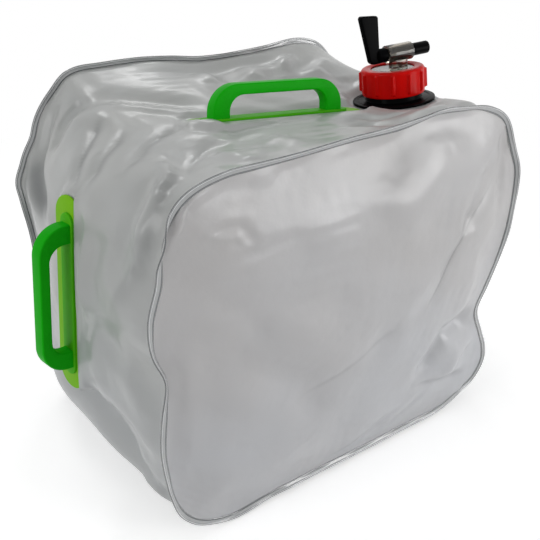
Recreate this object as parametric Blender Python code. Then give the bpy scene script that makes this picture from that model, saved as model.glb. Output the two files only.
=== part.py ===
"""Collapsible water carrier: a welded film bag, two moulded handles, a screw cap and a tap.

Units are metres, +Z up. The origin is on the floor under the middle of the bag. X runs
along the broad front panel, the front panel faces -Y, and the side handle faces -X.
The bag is one strip of film, closed by a front and a back panel at two weld seams.
"""
import math

import bmesh
import bpy
import numpy as np
from mathutils import Matrix, Vector

# Clearances
gap = 0.0003
overrun = 0.004
sink = 0.0006
merge_distance = 0.00001
sharp_angle = 35
round_profile_share = 0.5

# Bag: the two weld seams are rounded rectangles that face each other
bag_width = 0.310
bag_depth = 0.2222
bag_height = 0.2759
corner_radius = 0.0575
film = 0.0008
seam_fin = 0.0045
seam_thickness = 0.0012
seam_ridge = 0.0005
seam_land = 0.006
floor_clearance = 0.0005
rest_drop = seam_fin + floor_clearance

# How far each wall of the strip swells past the seams at mid depth, outward positive
top_swell_right = -0.019
top_swell_left = -0.010
side_swell_high = 0.008
side_swell_low = 0.020
panel_swell = 0.015
swell_power_share = 2.4
panel_edge_share = 9
panel_round_share = 0.55
rest_flat_share = 0.72

# Where the seams stray from their rounded rectangle: share of the way round, share of the width out
front_stray_shares = (
    (0.000, 0.000), (0.061, -0.008), (0.171, -0.006), (0.205, 0.000), (0.240, 0.024), (0.266, -0.006),
    (0.299, -0.055), (0.324, -0.024), (0.348, 0.004), (0.372, 0.018), (0.402, 0.014), (0.437, -0.011),
    (0.470, -0.002), (0.527, 0.012), (0.560, 0.000), (0.650, -0.004), (0.700, 0.000), (0.765, -0.013),
    (0.802, 0.012), (0.845, -0.009), (0.889, 0.003), (0.926, -0.006), (0.965, 0.001),
)
back_stray_shares = (
    (0.000, 0.000), (0.060, -0.006), (0.130, 0.000), (0.210, -0.003), (0.270, 0.005), (0.330, -0.008),
    (0.400, 0.006), (0.460, 0.010), (0.487, 0.003), (0.539, -0.010), (0.585, -0.008), (0.612, 0.006),
    (0.655, 0.018), (0.694, 0.014), (0.722, -0.014), (0.748, -0.026), (0.768, -0.003), (0.788, 0.015),
    (0.836, -0.001), (0.930, 0.008), (0.965, 0.006),
)
stray_reach_share = 0.75
stray_power_share = 1.3

# Broad folds of the film: the two ends as shares of half the width, half the depth and the height,
# then how far they rise and reach, as shares of the width
fold_shares = (
    ((0.92, -1.00, 0.36), (0.40, -1.00, 0.21), -0.017, 0.060),
    ((0.60, -1.00, 0.98), (0.05, -1.00, 0.79), 0.013, 0.080),
    ((0.86, -1.00, 0.89), (0.60, -1.00, 0.67), -0.011, 0.060),
    ((-0.88, -1.00, 0.63), (-0.20, -1.00, 0.21), -0.012, 0.065),
    ((-0.86, -0.81, 0.97), (-1.06, -0.60, 0.72), -0.018, 0.060),
    ((-0.80, 0.90, 0.99), (-1.06, 0.41, 0.76), -0.018, 0.055),
    ((-0.62, 0.55, 1.00), (-0.34, 0.10, 0.97), -0.014, 0.045),
)
fold_fade_share = 0.12

# Steps of the film's grid
straight_steps = 11
upright_steps = 10
corner_steps = 6
panel_rings = 5
row_shares = (-0.72, -0.52, -0.32, -0.14, 0.04, 0.22, 0.40, 0.56, 0.72)
iron_reach = 0.028
iron_spread = 0.016
iron_edge = 0.004
iron_depth = 0.04

# Handles: both are the same moulding of an arch, a pad and a thin weld flange
handle_length = 0.110
handle_height = 0.0268
handle_depth = 0.0108
handle_foot = 0.0138
handle_bar = 0.0078
handle_outer_radius = 0.0205
handle_inner_radius = 0.0115
handle_edge = 0.0012
pad_length = 0.124
pad_width = 0.014
pad_top = 0.0032
flange_length = 0.148
flange_width = 0.031
flange_thickness = 0.0013
arc_steps = 7

# Where the top handle lies on the strip: place, then yaw, slope and lean in degrees
top_handle_x = -0.0027
top_handle_y = -0.0146
top_handle_drop = 0.0139
top_handle_yaw = -4.1
top_handle_slope = -5.0
top_handle_lean = 8.7

# Where the side handle lies: place, then turn in the wall, slope and lean in degrees
side_handle_out = 0.0150
side_handle_y = -0.0049
side_handle_rise = 0.0219
side_handle_turn = 3.9
side_handle_slope = -6.8
side_handle_lean = 10.8

# Spout neck: a weld flange with a tube, its place on the strip, and its lean in degrees
spout_inset = 0.0413
spout_y = -0.0155
spout_drop = 0.0205
spout_lean_x = -2.6
spout_lean_y = 8.1
neck_flange_radius = 0.0331
neck_flange_thickness = 0.002
neck_radius = 0.021
neck_bore_radius = 0.018
neck_bead = 0.0015
neck_edge = 0.0006
film_hole_margin = 0.001
film_hole_depth = 0.012
round_steps = 48
tap_steps = 24
bore_steps = 16

# Cap: a ring nut that clamps the tap's disc and a washer on the neck
cap_bottom = 0.0062
cap_height = 0.0206
cap_radius = 0.0252
cap_wall = 0.0036
cap_lip = 0.0024
cap_opening_radius = 0.0173
cap_shoulder = 0.0022
cap_chamfer = 0.0012
cap_ribs = 12
cap_rib_turn = 17.9
rib_root = 0.0034
rib_crest = 0.0014
rib_top_out = 0.0018
rib_bottom_out = 0.0020
rib_top_inset = 0.0022
rib_bottom_inset = 0.0026
rib_end = 0.0012
washer_thickness = 0.0018
disc_thickness = 0.0024
disc_boss = 0.0016

# Tap: a clear disc with a riser and a cross barrel, and a black core that turns in it
tap_yaw = -8.6
barrel_height = 0.0371
barrel_start = -0.0058
barrel_end = 0.0171
barrel_radius = 0.0070
barrel_bore_radius = 0.0053
barrel_edge = 0.0004
riser_length = 0.0165
riser_width = 0.0085
riser_bore_radius = 0.0025
core_bore_radius = 0.0025
nozzle_end = 0.0335
nozzle_edge = 0.0009
hub_length = 0.0065
hub_radius = 0.0056
lever_height = 0.0325
lever_top_outer = -0.0285
lever_foot_outer = -0.0222
lever_thickness = 0.0052
lever_edge = 0.0013
lever_corner = 0.0022
lever_slant = 0.0012
lever_foot_radius = 0.0045

# Places worked out from the sizes above
mid_height = rest_drop + bag_height / 2
rim_top = rest_drop + bag_height
half_width = bag_width / 2
half_depth = bag_depth / 2
spout_x = half_width - spout_inset
cap_top = cap_bottom + cap_height
disc_top = cap_top - cap_lip - gap
disc_bottom = disc_top - disc_thickness
washer_top = disc_bottom - gap
washer_bottom = washer_top - washer_thickness
neck_top = washer_bottom - gap
core_radius = barrel_bore_radius - gap
cap_bore_radius = cap_radius - cap_wall
disc_radius = cap_bore_radius - gap
hub_end = barrel_start - gap - hub_length


def clear_scene():
    """Remove whatever the opened file holds."""
    for thing in list(bpy.data.objects):
        bpy.data.objects.remove(thing, do_unlink=True)


def make_material(name, colour, roughness, alpha):
    """Return a Principled material of one plain colour."""
    material = bpy.data.materials.new(name)
    material.use_nodes = True
    shader = material.node_tree.nodes["Principled BSDF"]
    shader.inputs["Base Color"].default_value = (*colour, 1.0)
    shader.inputs["Roughness"].default_value = roughness
    shader.inputs["Metallic"].default_value = 0.0
    shader.inputs["Alpha"].default_value = alpha
    material.diffuse_color = (*colour, alpha)
    return material


def place(thing, frame, parent):
    """Set a thing's world frame under a parent whose own basis is its world frame."""
    bpy.context.collection.objects.link(thing)
    thing.matrix_basis = frame
    if parent:
        thing.parent = parent
        thing.matrix_parent_inverse = parent.matrix_basis.inverted()
    return thing


def add_piece(name, mesh, frame, material, parent=None):
    """Make the named object of one piece."""
    mesh.name = name
    mesh.materials.clear()
    mesh.materials.append(material)
    mesh.shade_smooth()
    mesh.set_sharp_from_angle(angle=math.radians(sharp_angle))
    return place(bpy.data.objects.new(name, mesh), frame, parent)


def add_empty(name, frame, parent=None):
    """Make an empty that carries the pieces of one moving body."""
    return place(bpy.data.objects.new(name, None), frame, parent)


def finish_bmesh(bm):
    """Turn a bmesh into a mesh with its faces pointing out."""
    bmesh.ops.remove_doubles(bm, verts=bm.verts, dist=merge_distance)
    bmesh.ops.recalc_face_normals(bm, faces=bm.faces)
    mesh = bpy.data.meshes.new("shape")
    bm.to_mesh(mesh)
    bm.free()
    return mesh


def combine(base, changes):
    """Join meshes to a base mesh, or cut them from it, and return the result."""
    body = place(bpy.data.objects.new("base", base), Matrix.Identity(4), None)
    helpers = [body]
    for operation, mesh in changes:
        helper = place(bpy.data.objects.new("helper", mesh), Matrix.Identity(4), None)
        helper.hide_render = True
        helper.display_type = "WIRE"
        modifier = body.modifiers.new(operation, "BOOLEAN")
        modifier.operation = operation
        modifier.solver = "EXACT"
        modifier.object = helper
        helpers.append(helper)
    bpy.context.view_layer.update()
    graph = bpy.context.evaluated_depsgraph_get()
    result = bpy.data.meshes.new_from_object(body.evaluated_get(graph))
    for thing in helpers:
        bpy.data.objects.remove(thing, do_unlink=True)
    return result


def turned(profile, steps=round_steps):
    """Turn a closed profile of (radius, height) points about Z."""
    bm = bmesh.new()
    corners = [bm.verts.new((radius, 0, height)) for radius, height in profile]
    edges = [bm.edges.new((a, b)) for a, b in zip(corners, corners[1:] + corners[:1])]
    bmesh.ops.spin(
        bm,
        geom=corners + edges,
        cent=(0, 0, 0),
        axis=(0, 0, 1),
        angle=2 * math.pi,
        steps=steps,
        use_merge=True,
    )
    return finish_bmesh(bm)


def extruded(outline, bottom, top, edge=0.0):
    """Extrude an outline of (x, y) points along Z and round its two long edges."""
    bm = bmesh.new()
    corners = [bm.verts.new((x, y, bottom)) for x, y in outline]
    face = bm.faces.new(corners)
    made = bmesh.ops.extrude_face_region(bm, geom=[face])
    lifted = [item for item in made["geom"] if isinstance(item, bmesh.types.BMVert)]
    bmesh.ops.translate(bm, verts=lifted, vec=(0, 0, top - bottom))
    if edge:
        level = [item for item in bm.edges if abs(item.verts[0].co.z - item.verts[1].co.z) < merge_distance]
        bmesh.ops.bevel(bm, geom=level, offset=edge, segments=2, profile=round_profile_share, affect="EDGES")
    return finish_bmesh(bm)


def moved(mesh, frame):
    """Return a mesh after moving its points by a frame."""
    mesh.transform(frame)
    return mesh


def arc(centre, radius, start, end, steps):
    """Points on an arc from one angle to another, in degrees."""
    angles = [math.radians(start + (end - start) * step / steps) for step in range(steps + 1)]
    return [(centre[0] + radius * math.cos(a), centre[1] + radius * math.sin(a)) for a in angles]


def stadium(length, width):
    """Outline of a strip with round ends."""
    reach = (length - width) / 2
    right = arc((reach, 0), width / 2, -90, 90, 2 * arc_steps)
    left = arc((-reach, 0), width / 2, 90, 270, 2 * arc_steps)
    return right + left


def smooth(share):
    """Ease a share, or an array of shares, from 0 to 1."""
    share = np.clip(share, 0, 1)
    return share * share * (3 - 2 * share)


def closed_curve(table, way):
    """Value at a share of the way round a smooth closed curve through a table of (share, value)."""
    count = len(table)
    index = max(place for place in range(count) if table[place][0] <= way)
    spans = [table[(index + step) % count][0] + (index + step) // count for step in (-1, 0, 1, 2)]
    values = [table[(index + step) % count][1] for step in (-1, 0, 1, 2)]
    width = spans[2] - spans[1]
    share = (way - spans[1]) / width
    leave = (values[2] - values[0]) / (spans[2] - spans[0]) * width
    arrive = (values[3] - values[1]) / (spans[3] - spans[1]) * width
    turn = smooth(share)
    bend = share * (1 - share)
    return float(values[1] + (values[2] - values[1]) * turn + bend * (leave * (1 - share) - arrive * share))


def seam_stations():
    """Follow the seam once round, as (x, z, normal x, normal z, swell, rest share, share of the way)."""
    across = half_width - corner_radius
    up = bag_height / 2 - corner_radius
    quarter = math.pi * corner_radius / 2
    whole = 4 * (across + up + quarter)
    way = 0
    sides = (
        (across, 0, rest_drop, rest_drop, 1, straight_steps),
        (up, 90, side_swell_low, side_swell_high, 0, upright_steps),
        (across, 180, top_swell_right, top_swell_left, 0, straight_steps),
        (up, 270, side_swell_high, side_swell_low, 0, upright_steps),
    )
    stations = []
    for index, (reach, turn, start, end, rest, steps) in enumerate(sides):
        normal = Vector((math.sin(math.radians(turn)), -math.cos(math.radians(turn))))
        along = Vector((-normal.y, normal.x))
        edge = bag_height / 2 if index % 2 == 0 else half_width
        for step in range(steps):
            share = step / steps
            point = normal * edge + along * reach * (2 * share - 1)
            swell = start + (end - start) * share
            gone = (way + 2 * reach * share) / whole
            stations.append((point.x, point.y + mid_height, normal.x, normal.y, swell, rest, gone))
        way += 2 * reach
        following = sides[(index + 1) % len(sides)]
        centre = normal * (edge - corner_radius) + along * reach
        for step in range(corner_steps):
            share = step / corner_steps
            ease = float(smooth(share))
            angle = math.radians(turn + 90 * share)
            lean = Vector((math.sin(angle), -math.cos(angle)))
            point = centre + lean * corner_radius
            swell = end + (following[2] - end) * ease
            blend = rest + (following[4] - rest) * ease
            gone = (way + quarter * share) / whole
            stations.append((point.x, point.y + mid_height, lean.x, lean.y, swell, blend, gone))
        way += quarter
    return np.array(stations)


def stray(stations, side):
    """How far each station of the front or back seam lies outside the rounded rectangle."""
    table = front_stray_shares if side < 0 else back_stray_shares
    out = np.array([closed_curve(table, way) for way in stations[:, 6]]) * bag_width
    down = np.maximum(-stations[:, 3], merge_distance)
    room = (stations[:, 1] - floor_clearance) / down - seam_fin
    return np.minimum(out, room)


def seam_ring(side, out):
    """Outline of the front or back seam, at a distance outside it."""
    stations = seam_stations()
    return stations[:, :2] + stations[:, 2:4] * (stray(stations, side) + out)[:, None]


def fold_rise(points):
    """How far the film's broad folds rise at an array of points."""
    scale = np.array((half_width, half_depth, bag_height))
    total = np.zeros(points.shape[:-1])
    for start_shares, end_shares, rise, reach in fold_shares:
        start = np.array(start_shares) * scale
        along = np.array(end_shares) * scale - start
        share = np.clip((points - start) @ along / (along @ along), 0, 1)
        distance = np.linalg.norm(points - start - share[..., None] * along, axis=-1)
        total += rise * bag_width * np.exp(-((distance / (reach * bag_width)) ** 2))
    return total


def iron(points, frame, length, width, lift):
    """Press the film flat under a stiff flange of a given length and width."""
    axes = np.array(frame.to_3x3())
    local = (points - np.array(frame.translation)) @ axes
    corner = width / 2
    over = np.maximum(np.abs(local[..., 0]) - (length / 2 - corner), 0)
    distance = np.hypot(over, local[..., 1]) - corner
    height = local[..., 2] + gap
    start = np.where(height > 0, iron_spread, iron_edge)
    weight = 1 - smooth((distance - start) / iron_reach)
    weight = np.where(np.abs(height) < iron_depth, weight, 0)
    if not lift:
        weight = np.where(height > 0, weight, 0)
    return points - (height * weight)[..., None] * axes[:, 2]


def skin(outer, inner, wrapped):
    """Close an outer and an inner grid of points into one thin body."""
    bm = bmesh.new()
    rows, columns = outer.shape[:2]
    sheets = [[[bm.verts.new(p) for p in row] for row in grid] for grid in (outer, inner)]
    spans = columns if wrapped else columns - 1
    for row in range(rows - 1):
        for column in range(spans):
            after = (column + 1) % columns
            for sheet in sheets:
                near, far = sheet[row], sheet[row + 1]
                bm.faces.new((near[column], near[after], far[after], far[column]))
    for row in (0, rows - 1):
        for column in range(spans):
            after = (column + 1) % columns
            first, second = sheets[0][row], sheets[1][row]
            bm.faces.new((first[column], first[after], second[after], second[column]))
    return bm


def outward(points):
    """Normals of the strip's grid that point out of the bag."""
    along = np.roll(points, -1, axis=1) - np.roll(points, 1, axis=1)
    across = np.gradient(points, axis=0)
    normal = np.cross(along, across)
    normal /= np.linalg.norm(normal, axis=-1, keepdims=True)
    normal[[0, -1], :, 1] = 0
    normal /= np.linalg.norm(normal, axis=-1, keepdims=True)
    lean = points - points.mean(axis=1, keepdims=True)
    return normal * np.sign((normal * lean).sum(axis=-1, keepdims=True))


def strip_points(stations, frames):
    """Outer points of the strip of film, one row for each step from front to back."""
    land = half_depth - seam_land
    front, back = stray(stations, -1), stray(stations, 1)
    edge = half_depth - gap
    depths = [-edge, -land] + [share * half_depth for share in row_shares] + [land, edge]
    rows = []
    for y in depths:
        side = 1 - min(abs(y) / land, 1) ** swell_power_share
        rest_reach = (abs(y) / half_depth - rest_flat_share) / (1 - rest_flat_share - seam_land / half_depth)
        rest = 1 - float(smooth(rest_reach))
        profile = side + (rest - side) * stations[:, 5]
        near, far = (
            smooth((stray_reach_share + sign * y / half_depth) / (1 + stray_reach_share)) ** stray_power_share
            for sign in (-1, 1)
        )
        wave = (front * near + back * far) * (1 - stations[:, 5] * rest)
        out = stations[:, 4] * profile + wave
        x = stations[:, 0] + stations[:, 2] * out
        z = stations[:, 1] + stations[:, 3] * out
        rows.append(np.stack([x, np.full_like(x, y), z], axis=1))
    points = np.array(rows)
    fade = smooth((1 - np.abs(points[..., 1]) / half_depth) / fold_fade_share)
    points = points + outward(points) * (fold_rise(points) * fade)[..., None]
    for lift in (True, False):
        for frame, length, width in frames:
            points = iron(points, frame, length, width, lift)
    return points


def make_strip(frames, spout_frame):
    """Top, side and bottom walls in one strip, with the hole under the spout."""
    outer = strip_points(seam_stations(), frames)
    mesh = finish_bmesh(skin(outer, outer - outward(outer) * film, True))
    hole = neck_bore_radius + film_hole_margin
    cutter = turned([(0, -film_hole_depth), (hole, -film_hole_depth), (hole, overrun), (0, overrun)])
    return combine(mesh, [("DIFFERENCE", moved(cutter, spout_frame))])


def panel_ring(outline, share, side, depth):
    """Points of an end panel's pillow, on a ring that is a share of the seam."""
    x, z = outline[:, 0], outline[:, 1]
    across = 1 - np.minimum(np.abs(x) / half_width, 1) ** 2
    up = 1 - np.minimum(np.abs(z - mid_height) / (bag_height / 2), 1) ** 2
    pillow = panel_swell * (across * up) ** panel_round_share
    folds = fold_rise(np.stack([x, np.full_like(x, side * half_depth), z], axis=1))
    rise = (pillow + folds) * (1 - share ** panel_edge_share)
    return np.stack([x, side * (depth + rise), z], axis=1)


def make_panel(side):
    """Domed end panel with the margin that is welded to the strip."""
    centre = np.array([[0, mid_height]])
    rim = seam_ring(side, 0)
    shares = [1 - (step + 1) / panel_rings for step in range(panel_rings - 1)]
    outlines = [(seam_ring(side, seam_fin), 1), (rim, 1)]
    outlines += [(centre + (rim - centre) * share, share) for share in shares]
    bm = bmesh.new()
    sheets = []
    for depth in (half_depth + film, half_depth):
        rings = []
        for outline, share in outlines:
            rings.append([bm.verts.new(point) for point in panel_ring(outline, share, side, depth)])
        sheets.append((rings, bm.verts.new(panel_ring(centre, 0, side, depth)[0])))
    count = len(rim)
    for rings, middle in sheets:
        for one, two in zip(rings, rings[1:]):
            for column in range(count):
                after = (column + 1) % count
                bm.faces.new((one[column], one[after], two[after], two[column]))
        for column in range(count):
            bm.faces.new((rings[-1][column], rings[-1][(column + 1) % count], middle))
    first, second = sheets[0][0][0], sheets[1][0][0]
    for column in range(count):
        after = (column + 1) % count
        bm.faces.new((first[column], first[after], second[after], second[column]))
    return finish_bmesh(bm)


def make_seam(side):
    """Welded fin round the strip's edge, with its two pressed ridges."""
    start = half_depth - gap
    shares = ((1, 0), (1, 1), (0.76, 1), (0.62, 1), (0.48, 1), (0.3, 1), (0, 1), (0, 0))
    ridges = (0, 0, 0, 1, 0, 1, 0, 0)
    bm = bmesh.new()
    rings = []
    for (out_share, deep_share), ridge in zip(shares, ridges):
        out = gap + (seam_fin - gap) * out_share
        y = side * (start - seam_thickness * deep_share - seam_ridge * ridge)
        rings.append([bm.verts.new((x, y, z)) for x, z in seam_ring(side, out)])
    count = len(rings[0])
    for one, two in zip(rings, rings[1:] + rings[:1]):
        for column in range(count):
            after = (column + 1) % count
            bm.faces.new((one[column], one[after], two[after], two[column]))
    return finish_bmesh(bm)


def make_handle():
    """Arch, pad and weld flange of a handle, moulded as one piece."""
    reach = handle_length / 2
    outer_level = handle_height - handle_outer_radius
    inner_top = handle_height - handle_bar
    inner_level = inner_top - handle_inner_radius
    inner_reach = reach - handle_foot
    foot = flange_thickness + sink
    outline = [(reach, foot)]
    outline += arc((reach - handle_outer_radius, outer_level), handle_outer_radius, 0, 90, arc_steps)
    outline += arc((handle_outer_radius - reach, outer_level), handle_outer_radius, 90, 180, arc_steps)
    outline += [(-reach, foot), (-inner_reach, foot)]
    outline += arc((handle_inner_radius - inner_reach, inner_level), handle_inner_radius, 180, 90, arc_steps)
    outline += arc((inner_reach - handle_inner_radius, inner_level), handle_inner_radius, 90, 0, arc_steps)
    outline += [(inner_reach, foot)]
    arch = extruded(outline, -handle_depth / 2, handle_depth / 2, handle_edge)
    arch.transform(Matrix.Rotation(math.radians(90), 4, "X"))
    pad = extruded(stadium(pad_length, pad_width), sink, pad_top, sink)
    flange = extruded(stadium(flange_length, flange_width), 0, flange_thickness)
    return combine(flange, [("UNION", pad), ("UNION", arch)])


def make_neck():
    """Black weld flange with the threaded neck and the bead under the cap."""
    bead = neck_radius + neck_bead
    bead_top = cap_bottom - gap
    profile = [
        (neck_bore_radius, 0),
        (neck_flange_radius, 0),
        (neck_flange_radius, neck_flange_thickness - neck_edge),
        (neck_flange_radius - neck_edge, neck_flange_thickness),
        (bead + neck_edge, neck_flange_thickness),
        (bead, neck_flange_thickness + neck_edge),
        (bead, bead_top - neck_edge),
        (bead - neck_edge, bead_top),
        (neck_radius, bead_top),
        (neck_radius, neck_top - neck_edge),
        (neck_radius - neck_edge, neck_top),
        (neck_bore_radius, neck_top),
    ]
    return turned(profile)


def make_washer():
    """Flat washer between the neck and the tap's disc."""
    return turned([
        (neck_bore_radius, washer_bottom),
        (neck_radius, washer_bottom),
        (neck_radius, washer_top),
        (neck_bore_radius, washer_top),
    ])


def make_cap():
    """Ring nut with a rounded shoulder, an open top and grip ribs."""
    shoulder = (cap_radius - cap_shoulder, cap_top - cap_shoulder)
    profile = [(cap_bore_radius, cap_bottom), (cap_radius - cap_chamfer, cap_bottom)]
    profile += [(cap_radius, cap_bottom + cap_chamfer)]
    profile += arc(shoulder, cap_shoulder, 0, 90, arc_steps // 2)
    profile += [(cap_opening_radius, cap_top), (cap_opening_radius, cap_top - cap_lip)]
    profile += [(cap_bore_radius, cap_top - cap_lip)]
    body = turned(profile)
    low = cap_bottom + rib_bottom_inset
    high = cap_top - rib_top_inset
    start = cap_radius - rib_end
    side = [
        (start, low),
        (cap_radius + rib_bottom_out, low + rib_end),
        (cap_radius + rib_top_out, high - rib_end / 2),
        (start, high),
    ]
    widths = (rib_root, rib_crest, rib_crest, rib_root)
    bm = bmesh.new()
    for index in range(cap_ribs):
        turn = Matrix.Rotation(2 * math.pi * index / cap_ribs + math.radians(cap_rib_turn), 4, "Z")
        near, far = (
            [bm.verts.new(turn @ Vector((x, way * width / 2, z))) for (x, z), width in zip(side, widths)]
            for way in (-1, 1)
        )
        bm.faces.new(near)
        bm.faces.new(far)
        for a in range(len(side)):
            b = (a + 1) % len(side)
            bm.faces.new((near[a], near[b], far[b], far[a]))
    return combine(body, [("UNION", finish_bmesh(bm))])


def make_tap_body():
    """Clear disc, riser and cross barrel, with the bores for the water and the core."""
    boss_radius = cap_opening_radius - gap
    disc = turned([
        (0, disc_bottom),
        (disc_radius, disc_bottom),
        (disc_radius, disc_top),
        (boss_radius, disc_top),
        (boss_radius, disc_top + disc_boss),
        (0, disc_top + disc_boss),
    ])
    along = Matrix.Rotation(math.radians(tap_yaw), 4, "Z") @ Matrix.Translation((0, 0, barrel_height))
    lay = Matrix.Rotation(math.radians(90), 4, "Y")
    barrel = turned([
        (0, barrel_start),
        (barrel_radius - barrel_edge, barrel_start),
        (barrel_radius, barrel_start + barrel_edge),
        (barrel_radius, barrel_end - barrel_edge),
        (barrel_radius - barrel_edge, barrel_end),
        (0, barrel_end),
    ], tap_steps)
    middle = (barrel_start + barrel_end) / 2
    riser = extruded(stadium(riser_length, riser_width), disc_top - sink, barrel_height)
    riser.transform(along @ Matrix.Translation((middle, 0, -barrel_height)))
    bore = turned([
        (0, barrel_start - overrun),
        (barrel_bore_radius, barrel_start - overrun),
        (barrel_bore_radius, barrel_end + overrun),
        (0, barrel_end + overrun),
    ], tap_steps)
    water = turned([
        (0, disc_bottom - overrun),
        (riser_bore_radius, disc_bottom - overrun),
        (riser_bore_radius, barrel_height),
        (0, barrel_height),
    ], bore_steps)
    water.transform(along @ Matrix.Translation((middle, 0, -barrel_height)))
    return combine(disc, [
        ("UNION", riser),
        ("UNION", moved(barrel, along @ lay)),
        ("DIFFERENCE", moved(bore, along @ lay)),
        ("DIFFERENCE", water),
    ])


def make_core():
    """Black core: lever, hub, plug with a side port, and nozzle, along its own X."""
    lay = Matrix.Rotation(math.radians(90), 4, "Y")
    hub_start = (lever_foot_outer + hub_end) / 2
    hub_stop = barrel_start - gap
    middle = (barrel_start + barrel_end) / 2
    blind = middle - riser_bore_radius - core_bore_radius
    plug = turned([
        (0, hub_start),
        (hub_radius - lever_edge, hub_start),
        (hub_radius, hub_start + lever_edge),
        (hub_radius, hub_stop - barrel_edge),
        (hub_radius - barrel_edge, hub_stop),
        (core_radius, hub_stop),
        (core_radius, nozzle_end - nozzle_edge),
        (core_radius - nozzle_edge / 2, nozzle_end),
        (core_bore_radius, nozzle_end),
        (core_bore_radius, blind),
        (0, blind),
    ], tap_steps)
    foot = (lever_foot_outer + lever_foot_radius, lever_foot_radius - hub_radius)
    top = (lever_top_outer + lever_corner, lever_height - lever_corner)
    near_top = (hub_end - lever_corner, lever_height - lever_slant - lever_corner)
    outline = arc(top, lever_corner, 90, 180, arc_steps // 2)
    outline += arc(foot, lever_foot_radius, 180, 270, arc_steps // 2)
    outline += [(hub_end, -hub_radius), (hub_end, lever_height - lever_corner)]
    outline += arc(near_top, lever_corner, 0, 90, arc_steps // 2)[1:]
    lever = extruded(outline, -lever_thickness / 2, lever_thickness / 2, lever_edge)
    lever.transform(Matrix.Rotation(math.radians(90), 4, "X"))
    port = turned([
        (0, 0),
        (core_bore_radius, 0),
        (core_bore_radius, core_radius + overrun),
        (0, core_radius + overrun),
    ], bore_steps)
    port.transform(Matrix.Translation((middle, 0, 0)) @ Matrix.Rotation(math.radians(90), 4, "X"))
    return combine(moved(plug, lay), [("UNION", lever), ("DIFFERENCE", port)])


def top_handle_frame():
    """World frame of the top handle's base, X along it and Z out of the film."""
    spin = Matrix.Rotation(math.radians(top_handle_yaw), 4, "Z")
    slope = Matrix.Rotation(math.radians(-top_handle_slope), 4, "Y")
    lean = Matrix.Rotation(math.radians(-top_handle_lean), 4, "X")
    spot = Matrix.Translation((top_handle_x, top_handle_y, rim_top - top_handle_drop))
    return spot @ spin @ slope @ lean


def side_handle_frame():
    """World frame of the side handle's base, X up the wall and Z out of the film."""
    wall = Matrix(((0, 0, -1), (0, 1, 0), (1, 0, 0))).to_4x4()
    turn = Matrix.Rotation(math.radians(side_handle_turn), 4, "Z")
    slope = Matrix.Rotation(math.radians(-side_handle_slope), 4, "Y")
    lean = Matrix.Rotation(math.radians(side_handle_lean), 4, "X")
    spot = Matrix.Translation((-half_width - side_handle_out, side_handle_y, mid_height + side_handle_rise))
    return spot @ wall @ turn @ slope @ lean


def spout_frame():
    """World frame of the spout, Z out of the film and X towards the right."""
    lean = (math.tan(math.radians(spout_lean_x)), math.tan(math.radians(spout_lean_y)), 1)
    out = Vector(lean).normalized()
    right = Vector((0, 1, 0)).cross(out).normalized()
    back = out.cross(right)
    turn = Matrix((right, back, out)).transposed().to_4x4()
    return Matrix.Translation((spout_x, spout_y, rim_top - spout_drop)) @ turn


def main():
    """Build the carrier."""
    clear_scene()
    clear_film = make_material("film", (0.78, 0.80, 0.80), 0.25, 0.45)
    welded_film = make_material("weld", (0.66, 0.70, 0.72), 0.2, 0.7)
    green = make_material("handle_green", (0.03, 0.50, 0.02), 0.35, 1.0)
    black = make_material("black_plastic", (0.012, 0.012, 0.013), 0.4, 1.0)
    red = make_material("cap_red", (0.62, 0.01, 0.01), 0.25, 1.0)
    clear = make_material("clear_plastic", (0.72, 0.75, 0.70), 0.1, 0.6)
    rubber = make_material("washer_rubber", (0.75, 0.74, 0.70), 0.6, 1.0)

    still = Matrix.Identity(4)
    top_frame = top_handle_frame()
    side_frame = side_handle_frame()
    spout = spout_frame()
    flange_span = 2 * neck_flange_radius
    frames = (
        (top_frame, flange_length, flange_width),
        (side_frame, flange_length, flange_width),
        (spout, flange_span, flange_span),
    )
    add_piece("wall_wrap", make_strip(frames, spout), still, clear_film)
    handle = make_handle()
    add_piece("top_handle", handle, top_frame, green)
    add_piece("side_handle", handle, side_frame, green)
    add_piece("spout_neck", make_neck(), spout, black)

    front = add_empty("front_end", Matrix.Translation((0, -half_depth, mid_height)))
    back = add_empty("back_end", Matrix.Translation((0, half_depth, mid_height)))
    add_piece("front_panel", make_panel(-1), still, clear_film, front)
    add_piece("back_panel", make_panel(1), still, clear_film, back)
    add_piece("front_weld_seam", make_seam(-1), still, welded_film, front)
    add_piece("back_weld_seam", make_seam(1), still, welded_film, back)

    lift = add_empty("cap_lift", spout)
    add_piece("neck_washer", make_washer(), spout, rubber, lift)
    nut = add_empty("cap_turn", spout, lift)
    add_piece("cap_ring", make_cap(), spout, red, nut)
    tap = add_empty("tap_swivel", spout, lift)
    add_piece("tap_body", make_tap_body(), spout, clear, tap)
    yaw = Matrix.Rotation(math.radians(tap_yaw), 4, "Z")
    barrel = spout @ yaw @ Matrix.Translation((0, 0, barrel_height))
    core = add_empty("tap_lever", barrel, tap)
    add_piece("tap_core", make_core(), barrel, black, core)


main()
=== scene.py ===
"""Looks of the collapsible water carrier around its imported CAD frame."""
import math

import bmesh
import bpy
import numpy as np
from mathutils import Matrix, Vector


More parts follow.
